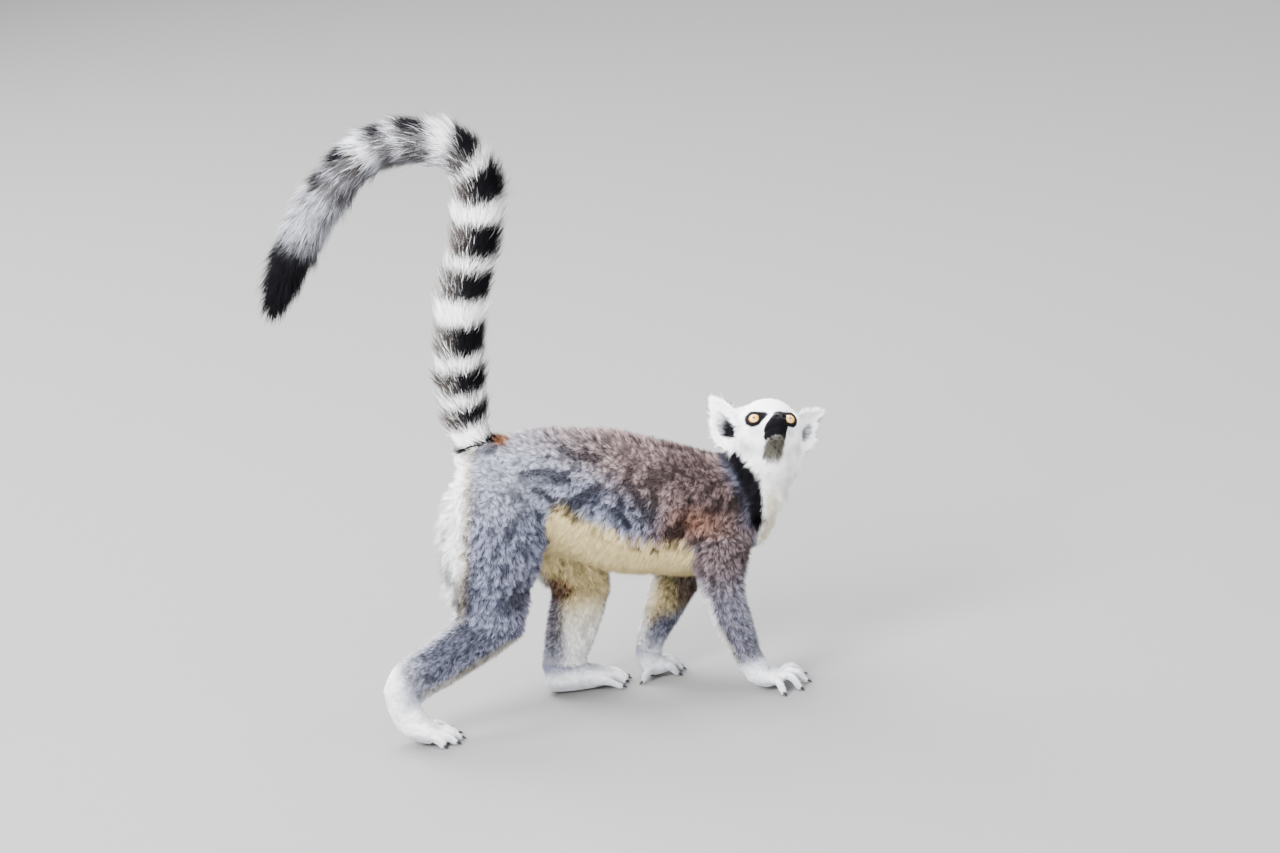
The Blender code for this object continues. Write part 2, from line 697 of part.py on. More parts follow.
def fitted_ear(name, frame, inner_points, outer_points, neighbours):
    """Make an ear and cut its base to its neighbours, with a hairline gap."""
    item = ear(name, frame, inner_points, outer_points)
    for neighbour in neighbours:
        item = subtract(item, inflated(neighbour, EAR_GAP))
    return item


def finish(item):
    """Give a solid its own material and put it in the animal's collection."""
    colour, roughness = FINISHES[value_for(NODE_FINISHES, item.name)]
    material = bpy.data.materials.new(item.name)
    material.use_nodes = True
    shader = material.node_tree.nodes["Principled BSDF"]
    shader.inputs["Base Color"].default_value = (*colour, 1.0)
    shader.inputs["Roughness"].default_value = roughness
    shader.inputs["Metallic"].default_value = 0.0
    material.diffuse_color = (*colour, 1.0)
    item.data.materials.clear()
    item.data.materials.append(material)
    WORKING.objects.unlink(item)
    ANIMAL.objects.link(item)


def build():
    """Model the whole animal."""
    frame = head_frame()
    body = blended_body(frame)
    body = subtract(body, floor_block())
    for way in (-1, 1):
        body = subtract(body, ball("socket", eye_place(frame, way), EYE_RADIUS + SOCKET_GAP))
    saws = [saw_disc(*cut) for cut in LIMB_CUTS] + [oblique_saw(*cut) for cut in OBLIQUE_CUTS]
    for saw in saws:
        body = subtract(body, saw)
    solids = parted_solids(body)
    items = list(solids.values())
    neighbours = [solids["head"], solids["neck"]]
    items.append(fitted_ear("ear_right", frame, RIGHT_EAR_INNER, RIGHT_EAR_OUTER, neighbours))
    items.append(fitted_ear("ear_left", frame, LEFT_EAR_INNER, LEFT_EAR_OUTER, neighbours))
    items.append(ball("eye_right", eye_place(frame, -1), EYE_RADIUS))
    items.append(ball("eye_left", eye_place(frame, 1), EYE_RADIUS))
    for item in items:
        finish(item)


clear_scene()
ANIMAL = new_collection("ring_tailed_lemur")
CUTTERS = new_collection("cutters")
WORKING = new_collection("working")
build()
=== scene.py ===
"""Looks of a still, life-size ring-tailed lemur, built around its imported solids.

One skin replaces the solids of flesh and lies inside them by the depth of the coat. The coat is
solid tufts rooted on that skin, laid the way the hair grows and gathered into locks. Skin and
coat take their colours from the same markings. Eyes, lids, nose and nails are their own pieces.
"""

import logging
import math
from dataclasses import astuple, dataclass, field, fields
from enum import Enum

import bmesh
import bpy
import numpy as np
from mathutils import Matrix, Vector
from mathutils.bvhtree import BVHTree
from mathutils.kdtree import KDTree


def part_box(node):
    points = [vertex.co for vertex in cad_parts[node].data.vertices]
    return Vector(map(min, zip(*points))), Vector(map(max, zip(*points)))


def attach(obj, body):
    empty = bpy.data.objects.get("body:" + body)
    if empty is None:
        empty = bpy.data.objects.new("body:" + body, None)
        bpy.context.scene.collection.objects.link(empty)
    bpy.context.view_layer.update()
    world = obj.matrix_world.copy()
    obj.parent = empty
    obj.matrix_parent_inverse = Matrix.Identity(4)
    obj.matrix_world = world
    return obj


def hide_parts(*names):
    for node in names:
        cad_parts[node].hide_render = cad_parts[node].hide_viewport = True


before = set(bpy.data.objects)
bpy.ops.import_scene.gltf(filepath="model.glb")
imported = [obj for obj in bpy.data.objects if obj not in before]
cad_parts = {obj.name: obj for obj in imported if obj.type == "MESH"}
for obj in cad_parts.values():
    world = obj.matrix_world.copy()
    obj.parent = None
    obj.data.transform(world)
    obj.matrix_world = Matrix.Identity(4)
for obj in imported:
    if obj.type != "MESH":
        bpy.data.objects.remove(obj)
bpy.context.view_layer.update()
FLESH = sorted(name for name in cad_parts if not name.startswith("eye"))
LOG = logging.getLogger("lemur")
MM = 0.001
COLOUR_NAME = "coat_colour"
BAKE_MAP = "OFBake"
IRIS_MAP = "iris"
TUFT_PATCH = 0.003
FIRST_SEED = 21
QUICK_THINNING = 1.0

Array = np.ndarray
Tufts = dict[str, Array]


class Finish(Enum):
    """Material slots of the record."""

    GREY = "coat_grey"
    BROWN = "coat_brown"
    PALE = "coat_pale"
    DARK = "coat_dark"
    BARE = "bare_skin"
    CLAW = "claw"
    EYE = "eye"


class TuftForm(Enum):
    """How a tuft is made: a straight spike, or a lock that arches."""

    STRAIGHT = "straight"
    ARCHED = "arched"


# Faces of a tuft, whose corners are three at its root, three at its bend if any, and its tip.
TUFT_FACES = {
    TuftForm.STRAIGHT: ((0, 2, 3), (2, 1, 3), (1, 0, 3), (0, 1, 2)),
    TuftForm.ARCHED: ((0, 2, 5, 3), (2, 1, 4, 5), (1, 0, 3, 4), (3, 5, 6), (5, 4, 6), (4, 3, 6),
                      (0, 1, 2)),
}


@dataclass(frozen=True)
class CoatStyle:
    """The coat of one part of the body, in millimetres and degrees.

    depth is from the skin to the tips, spacing from root to root, lock the width of a lock, pull
    how far a lock draws its tufts together, and stray how far a tuft turns off its way.
    """

    depth: float
    length: float
    width: float
    lift: float
    spacing: float
    lock: float
    pull: float
    stray: float

    def row(self) -> list[float]:
        """Return the numbers as a row."""
        return list(astuple(self))


STYLE_COLUMNS = [column.name for column in fields(CoatStyle)]
DEPTH, LENGTH, SPACING = (STYLE_COLUMNS.index(name) for name in ("depth", "length", "spacing"))
BODY_STYLE = CoatStyle(5.4, 7.8, 0.74, 40.0, 0.98, 3.4, 0.46, 25.0)
BELLY_STYLE = CoatStyle(5.4, 9.0, 0.64, 26.0, 0.98, 3.4, 0.12, 7.0)
SKIRT_STYLE = CoatStyle(6.6, 13.5, 0.76, 30.0, 0.98, 6.0, 0.72, 13.0)
NECK_STYLE = CoatStyle(6.0, 9.5, 0.62, 38.0, 0.74, 5.0, 0.32, 13.0)
TAIL_STYLE = CoatStyle(12.0, 24.0, 0.92, 27.0, 1.06, 5.0, 0.20, 9.0)
THIGH_STYLE = CoatStyle(5.4, 7.6, 0.72, 40.0, 0.92, 3.2, 0.48, 25.0)
FRINGE_STYLE = CoatStyle(6.5, 14.5, 0.64, 38.0, 0.92, 4.5, 0.30, 17.0)
SHANK_STYLE = CoatStyle(3.6, 5.8, 0.56, 36.0, 0.88, 2.6, 0.36, 20.0)
ARM_STYLE = CoatStyle(4.6, 6.6, 0.62, 40.0, 0.92, 2.8, 0.40, 22.0)
FOREARM_STYLE = CoatStyle(3.2, 5.2, 0.54, 34.0, 0.88, 2.6, 0.36, 20.0)
PAW_STYLE = CoatStyle(0.8, 2.6, 0.40, 18.0, 0.81, 2.4, 0.28, 10.0)
EAR_STYLE = CoatStyle(0.9, 4.8, 0.46, 30.0, 0.68, 3.0, 0.28, 15.0)
FACE_STYLE = CoatStyle(1.0, 2.6, 0.38, 20.0, 0.56, 2.5, 0.12, 10.0)
LID_STYLE = CoatStyle(0.0, 1.7, 0.34, 15.0, 0.48, 2.0, 0.05, 9.0)
CROWN_STYLE = CoatStyle(2.6, 5.0, 0.48, 30.0, 0.66, 3.5, 0.22, 12.0)
CHEEK_STYLE = CoatStyle(4.2, 7.5, 0.52, 33.0, 0.68, 4.5, 0.28, 12.0)
MUZZLE_STYLE = CoatStyle(0.4, 1.3, 0.32, 16.0, 0.52, 2.0, 0.05, 10.0)

NODE_STYLES = {
    "head": CROWN_STYLE, "ear": EAR_STYLE, "neck": NECK_STYLE, "trunk": BODY_STYLE,
    "tail": TAIL_STYLE, "thigh": THIGH_STYLE, "shank": SHANK_STYLE, "foot": PAW_STYLE,
    "upper_arm": ARM_STYLE, "forearm": FOREARM_STYLE, "hand": PAW_STYLE,
}

# The way the hair lies on each part, from root to tip, in the body's frame.
NODE_LIE = {
    "neck": (-0.45, 0.05, -0.90), "trunk": (-1.00, 0.00, -0.12),
    "upper_arm": (-0.20, 0.00, -1.00), "forearm_right": (0.20, 0.00, -1.00),
    "forearm_left": (-0.30, 0.00, -1.00), "hand": (1.00, 0.00, -0.25),
    "thigh_right": (-0.35, 0.00, -0.94), "thigh_left": (0.15, 0.00, -1.00),
    "shank_right": (-0.85, 0.00, -0.50), "shank_left": (-0.30, 0.00, -0.95),
    "foot_right": (0.55, 0.00, -0.80), "foot_left": (1.00, 0.00, -0.10),
}

# Creases of the coat over hip, loin and flank, seen from the side: x, z in millimetres.
# The tufts in these creases are darkened as painted shade.
HIP_FOLDS = (
    ((-1, 277), (13, 268), (32, 264)),
    ((-43, 261), (-27, 260), (-14, 257), (-7, 253)),
    ((-34, 244), (-24, 239), (-17, 230), (-18, 216)),
    ((4, 295), (24, 284), (39, 281)),
    ((85, 231), (82, 208), (77, 193)),
    ((41, 213), (50, 203), (54, 192)),
    ((58, 236), (69, 218), (73, 201)),
)

# Outlines on the head, as seen from ahead: out from the middle, up, in millimetres.
EYE_PATCH = (
    (27.4, -1.0), (25.8, 3.0), (21.2, 7.2), (15.2, 6.6), (10.0, 5.9), (5.6, 4.7), (5.0, -0.6),
    (7.6, -2.4), (10.5, -4.8), (13.6, -8.6), (17.7, -9.8), (21.5, -10.0), (26.2, -6.0),
)
EAR_HOLLOW_RIGHT = (
    (46.8, 23.3), (43.1, 20.6), (39.4, 14.7), (35.8, 7.2), (32.6, 1.5), (30.6, -4.1),
    (30.8, -10.8), (35.6, -9.2), (39.1, -6.6), (45.5, -3.2), (48.7, 5.0), (48.4, 14.9),
)
EAR_HOLLOW_LEFT = (
    (48.4, 12.3), (45.0, 10.2), (40.1, 4.0), (37.6, -2.7), (40.0, -9.4), (46.2, -5.2),
    (49.8, 2.4), (49.9, 8.7),
)
# Side view of the line where the white of the cheek meets the black muzzle: up, ahead.
MUZZLE_EDGE = (
    (-30.0, 10.2), (-27.0, 8.3), (-24.8, 8.6), (-21.6, 12.0), (-18.0, 15.0), (-15.1, 19.8),
    (-13.7, 27.0), (-11.5, 32.0), (-9.5, 36.0),
)

# Middle line of the tail, from the rump to the tip: x, y, z.
TAIL_LINE = [
    (-0.072, 0.000, 0.262), (-0.087, 0.000, 0.306), (-0.086, 0.000, 0.368),
    (-0.075, 0.000, 0.432), (-0.051, 0.001, 0.500), (-0.040, 0.002, 0.552),
    (-0.058, 0.002, 0.590), (-0.103, 0.001, 0.606), (-0.150, 0.000, 0.597),
    (-0.194, -0.001, 0.560), (-0.228, -0.002, 0.514), (-0.247, -0.002, 0.484),
    (-0.255, -0.002, 0.468),
]

# Digits: knuckle and tip, where the nails sit.
DIGITS = {
    "hand_right": [
        ((0.178, -0.064, 0.013), (0.182, -0.075)), ((0.191, -0.059, 0.015), (0.199, -0.067)),
        ((0.195, -0.046, 0.015), (0.207, -0.048)), ((0.193, -0.030, 0.015), (0.205, -0.025)),
        ((0.176, -0.026, 0.013), (0.183, -0.017)),
    ],
    "hand_left": [
        ((0.069, 0.063, 0.0125), (0.077, 0.069)), ((0.074, 0.056, 0.014), (0.083, 0.060)),
        ((0.076, 0.047, 0.014), (0.085, 0.048)), ((0.072, 0.037, 0.0135), (0.080, 0.034)),
        ((0.050, 0.031, 0.010), (0.044, 0.026)),
    ],
    "foot_right": [
        ((-0.170, -0.066, 0.010), (-0.163, -0.073)), ((-0.160, -0.062, 0.010), (-0.150, -0.068)),
        ((-0.156, -0.053, 0.010), (-0.145, -0.055)), ((-0.159, -0.041, 0.010), (-0.148, -0.039)),
        ((-0.169, -0.028, 0.013), (-0.156, -0.021)),
    ],
    "foot_left": [
        ((0.011, 0.057, 0.010), (0.020, 0.061)), ((0.017, 0.052, 0.010), (0.027, 0.054)),
        ((0.018, 0.044, 0.010), (0.0285, 0.045)), ((0.015, 0.037, 0.010), (0.025, 0.0355)),
        ((0.007, 0.024, 0.010), (0.022, 0.021)),
    ],
}
DIGIT_TIP_HEIGHT = 0.0032

# Places in the head's frame: ahead, out from the middle, up, in millimetres.
EYE_SPOT = (-5.2, 17.5, 0.0)
EYE_OUT = EYE_SPOT[1]
NOSE_SPOT = (48.0, 0.0, -13.0)
EAR_ROOT = (-28.0, 24.0, -6.0)
LOCK_LEAST = 0.5
SOLE_TILT = -0.72

# Section of a lid from its inner side round to its outer side: height over the eyeball in
# millimetres, and angle past the edge of the opening.
LID_PROFILE = (
    (0.05, 0.02), (0.20, -0.015), (0.42, -0.018), (0.60, 0.03), (0.66, 0.10), (0.72, 0.22),
    (0.88, 0.36), (1.02, 0.52), (0.92, 0.76), (0.66, 1.04), (0.02, 1.10), (0.02, 0.40),
)


def unit(vectors: Array) -> Array:
    """Return the rows scaled to length one."""
    return vectors / np.maximum(np.linalg.norm(vectors, axis=-1, keepdims=True), 1e-9)


def step(low: float, high: float, values: Array) -> Array:
    """Return a smooth step that is 0 at low and 1 at high; low may be the larger."""
    share = np.clip((values - low) / (high - low), 0.0, 1.0)
    return share * share * (3.0 - 2.0 * share)


def blend(first: Array, second: Array, share: Array) -> Array:
    """Mix two rows, or sets of rows, by a share of the second from 0 to 1 for each row."""
    part = share[:, None]
    return np.asarray(first) * (1.0 - part) + np.asarray(second) * part


def edge(gap: Array, width: float | Array) -> Array:
    """Return 1 within an outline and 0 beyond it; gap is how far each point lies outside."""
    return np.clip(0.5 - gap / width, 0.0, 1.0)


def level(line: tuple, at: Array) -> Array:
    """Return the second number of a line of pairs at these first numbers."""
    return np.interp(at, *zip(*line))


def dots(first: Array, second: Array) -> Array:
    """Return the product of each row with its fellow or with one vector."""
    return (first * second).sum(axis=1)


def along_surface(ways: Array, normals: Array) -> Array:
    """Return directions with what points out of the surface taken away."""
    return ways - normals * dots(ways, normals)[:, None]


def line_gap(spots: Array, line: tuple) -> Array:
    """Return how far spots of a plane lie from a line through points.

    Args:
        spots: Rows of two numbers.
        line: Points of the line, two numbers each.

    Returns:
        The distance of each spot.
    """
    nearest = np.full(len(spots), np.inf)
    for start, end in zip(line[:-1], line[1:]):
        span = np.subtract(end, start)
        share = np.clip((spots - start) @ span / span.dot(span), 0.0, 1.0)
        gap = np.linalg.norm(spots - start - share[:, None] * span, axis=1)
        nearest = np.minimum(nearest, gap)
    return nearest


def outline_gap(spots: Array, outline: tuple) -> Array:
    """Return how far spots of a plane lie outside a closed outline; inside is negative.

    Args:
        spots: Rows of two numbers.
        outline: Corners of the outline, two numbers each.

    Returns:
        The distance of each spot.
    """
    closed = (*outline, outline[0])
    inside = np.zeros(len(spots), dtype=bool)
    for start, end in zip(closed[:-1], closed[1:]):
        crosses = (spots[:, 1] < start[1]) != (spots[:, 1] < end[1])
        rise = end[1] - start[1] if end[1] != start[1] else 1.0
        reach = start[0] + (end[0] - start[0]) * (spots[:, 1] - start[1]) / rise
        inside ^= crosses & (spots[:, 0] < reach)
    return line_gap(spots, closed) * np.where(inside, -1.0, 1.0)


def on_parts(node: Array, *starts: str) -> Array:
    """Tell which points lie on nodes of flesh whose names start in one of these ways."""
    wanted = [index for index, name in enumerate(FLESH) if name.startswith(starts)]
    return np.isin(node, wanted)


def on_side(spot: tuple, way: float) -> Array:
    """Return a spot of the head's frame on its left (1) or its right (-1)."""
    return np.array(spot) * (1.0, way, 1.0)


def value_for(table: dict, name: str) -> CoatStyle | tuple:
    """Return the entry whose key is the longest one that the name starts with."""
    return table[max((key for key in table if name.startswith(key)), key=len)]


def select_only(*items: bpy.types.Object) -> None:
    """Select these objects and nothing else, the first one active.

    Args:
        items: The objects.
    """
    bpy.ops.object.select_all(action="DESELECT")
    for item in items:
        item.select_set(True)
    bpy.context.view_layer.objects.active = items[0]


def apply_modifiers(item: bpy.types.Object) -> None:
    """Apply every modifier of an object.

    Args:
        item: The object.
    """
    select_only(item)
    for modifier in list(item.modifiers):
        bpy.ops.object.modifier_apply(modifier=modifier.name)


def new_sphere(name: str, segments: int, rings: int, radius: float) -> bpy.types.Object:
    """Add a sphere at the origin, as a start for a round shape.

    Args:
        name: Name of the object.
        segments: Number of meridians.
        rings: Number of parallels.
        radius: Radius in metres.

    Returns:
        The sphere.
    """
    bpy.ops.object.select_all(action="DESELECT")
    bpy.ops.mesh.primitive_uv_sphere_add(segments=segments, ring_count=rings, radius=radius)
    ball = bpy.context.view_layer.objects.active
    ball.name = ball.data.name = name
    return ball


def link_mesh(name: str, mesh: bpy.types.Mesh) -> bpy.types.Object:
    """Put a mesh into the scene as an object at the origin.

    Args:
        name: Name of the object.
        mesh: The mesh.

    Returns:
        The object.
    """
    item = bpy.data.objects.new(name, mesh)
    bpy.context.scene.collection.objects.link(item)
    return item


def corners_of(mesh: bpy.types.Mesh) -> Array:
    """Return the vertex of each face corner of a mesh.

    Args:
        mesh: The mesh.

    Returns:
        Numbers of vertices.
    """
    loops = np.empty(len(mesh.loops), dtype=np.int32)
    mesh.loops.foreach_get("vertex_index", loops)
    return loops


def points_of(mesh: bpy.types.Mesh) -> Array:
    """Return the places of a mesh's vertices as rows.

    Args:
        mesh: The mesh.

    Returns:
        Rows of three coordinates.
    """
    flat = np.empty(len(mesh.vertices) * 3, dtype=np.float32)
    mesh.vertices.foreach_get("co", flat)
    return flat.reshape(-1, 3).astype(float)


def move_points(mesh: bpy.types.Mesh, points: Array) -> None:
    """Move a mesh's vertices to these places."""
    mesh.vertices.foreach_set("co", points.astype(np.float32).ravel())
    mesh.update()


def paint_points(mesh: bpy.types.Mesh, colours: Array) -> None:
    """Give a mesh its colours, one for each vertex.

    Args:
        mesh: The mesh.
        colours: Rows of red, green, blue.
    """
    layer = mesh.color_attributes.new(COLOUR_NAME, "FLOAT_COLOR", "POINT")
    rgba = np.ones((len(colours), 4), dtype=np.float32)
    rgba[:, :3] = np.clip(colours, 0.0, 1.0)
    layer.data.foreach_set("color", rgba.ravel())


@dataclass(frozen=True)
class Drift:
    """A smooth random field through space, from 0 to 1."""

    seed: int
    grain: float

    def at(self, places: Array) -> Array:
        """Return the field at each place.

        Args:
            places: Rows of three coordinates.

        Returns:
            A number from 0 to 1 for each place.
        """
        cells = places / (self.grain * MM)
        low = np.floor(cells).astype(np.int64)
        share = cells - low
        share = share * share * (3.0 - 2.0 * share)
        total = np.zeros(len(places))
        for corner in np.ndindex(2, 2, 2):
            mixed = (low + corner) @ np.array([73856093, 19349663, 83492791]) + self.seed * 7919
            mixed = ((mixed ^ (mixed >> 13)) * 1274126177) & 0x7FFFFFFF
            mixed = ((mixed ^ (mixed >> 15)) * 668265263) & 0x7FFFFFFF
            weight = np.prod(np.where(corner, share, 1.0 - share), axis=1)
            total += weight * mixed / 0x7FFFFFFF
        return total


@dataclass
class Path:
    """A smooth line through points, with places along it measured in metres."""

    points: Array
    along: Array = field(init=False)
    ways: Array = field(init=False)

    def __post_init__(self) -> None:
        """Measure the line and its direction at each point."""
        steps = np.linalg.norm(np.diff(self.points, axis=0), axis=1)
        self.along = np.concatenate([[0.0], np.cumsum(steps)])
        self.ways = unit(np.gradient(self.points, self.along, axis=0))

    @classmethod
    def through(cls, keys: list, steps: int = 14) -> "Path":
        """Run a Catmull-Rom curve through keys.

        Args:
            keys: Points that the line passes through.
            steps: Points in each span.

        Returns:
            The line.
        """
        rows = np.array(keys, dtype=float)
        ends = np.vstack([2 * rows[0] - rows[1], rows, 2 * rows[-1] - rows[-2]])
        curve = []
        for span in range(len(rows) - 1):
            before, start, end, after = ends[span:span + 4]
            for t in np.arange(steps) / steps:
                curve.append(0.5 * (2 * start + (end - before) * t
                                    + (2 * before - 5 * start + 4 * end - after) * t ** 2
                                    + (3 * start - before - 3 * end + after) * t ** 3))
        curve.append(rows[-1])
        return cls(np.array(curve))

    def nearest(self, places: Array) -> Array:
        """Return the number of the line's point nearest to each place.

        Args:
            places: Rows of three coordinates.

        Returns:
            Numbers of the line's points.
        """
        found = np.empty(len(places), dtype=int)
        for start in range(0, len(places), 20000):
            block = places[start:start + 20000]
            gaps = ((block[:, None, :] - self.points[None, :, :]) ** 2).sum(axis=2)
            found[start:start + 20000] = gaps.argmin(axis=1)
        return found


@dataclass
class HeadFrame:
    """Axes of the head: forward along the muzzle, left and up, from between the eyes."""

    azimuth: float = math.radians(-73.8)
    elevation: float = math.radians(36.2)
    eye_back: float = 0.0052
    origin: Array = field(init=False)
    forward: Array = field(init=False)
    left: Array = field(init=False)
    up: Array = field(init=False)

    def __post_init__(self) -> None:
        """Take the axes from the way the head points and from where the eyes sit."""
        right_eye, left_eye = (np.array(sum(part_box(name), Vector()) / 2)
                               for name in ("eye_right", "eye_left"))
        self.forward = np.array([math.cos(self.elevation) * math.cos(self.azimuth),
                                 math.cos(self.elevation) * math.sin(self.azimuth),
                                 math.sin(self.elevation)])
        across = left_eye - right_eye
        self.left = unit(across - self.forward * across.dot(self.forward))
        self.up = np.cross(self.forward, self.left)
        self.origin = (left_eye + right_eye) / 2 + self.forward * self.eye_back

    def inside(self, places: Array) -> Array:
        """Turn world places into forward, left, up of the head in millimetres."""
        return (places - self.origin) @ np.stack([self.forward, self.left, self.up]).T / MM

    def outside(self, rows: Array) -> Array:
        """Turn forward, left, up in millimetres into world places."""
        return self.origin + self.turned(np.asarray(rows) * MM)

    def turned(self, rows: Array) -> Array:
        """Turn directions given as forward, left, up into world directions."""
        return rows @ np.stack([self.forward, self.left, self.up])


HEAD = HeadFrame()
TAIL = Path.through(TAIL_LINE)


@dataclass
class Places:
    """Where a set of points lies on the animal, in every way that the markings need."""

    world: Array
    normal: Array
    node: Array
    head: Array = field(init=False)
    tail_at: Array = field(init=False)
    tail_outer: Array = field(init=False)

    def __post_init__(self) -> None:
        """Measure the points in the head's frame and along the tail."""
        self.head = HEAD.inside(self.world)
        self.tail_at = np.zeros(len(self.world))
        self.tail_outer = np.zeros(len(self.world))
        on_tail = on_parts(self.node, "tail", "trunk")
        index = TAIL.nearest(self.world[on_tail])
        way = TAIL.ways[index]
        outer = unit(np.stack([way[:, 2], np.zeros(len(way)), -way[:, 0]], axis=1))
        radial = unit(self.world[on_tail] - TAIL.points[index])
        self.tail_at[on_tail] = TAIL.along[index] / MM
        self.tail_outer[on_tail] = dots(radial, outer)

    def on(self, *starts: str) -> Array:
        """Return 1 for points on nodes whose names start in one of these ways, otherwise 0."""
        return on_parts(self.node, *starts).astype(float)

    def spread(self, jitter: Array, reach: float) -> Array:
        """Return x, y and z in millimetres, each point moved at random by about a reach."""
        return (self.world / MM + reach * jitter).T


@dataclass(frozen=True)
class Hue:
    """Colour of a hair at its tip and at its root, in linear light."""

    tip: tuple[float, float, float]
    root: tuple[float, float, float]


@dataclass
class Layers:
    """Colours laid over each other on a set of points, for tips and roots together."""

    places: Places
    jitter: Array
    ground: Hue
    tip: Array = field(init=False)
    root: Array = field(init=False)

    def __post_init__(self) -> None:
        """Start with the ground colour everywhere."""
        self.tip = np.tile(self.ground.tip, (len(self.jitter), 1))
        self.root = np.tile(self.ground.root, (len(self.jitter), 1))

    def add(self, hue: Hue, share: Array) -> None:
        """Lay a hue over what is there by a share for each point.

        Args:
            hue: The hue.
            share: A number from 0 to 1 for each point.
        """
        share = np.clip(share, 0.0, 1.0)
        self.tip = blend(self.tip, hue.tip, share)
        self.root = blend(self.root, hue.root, share)


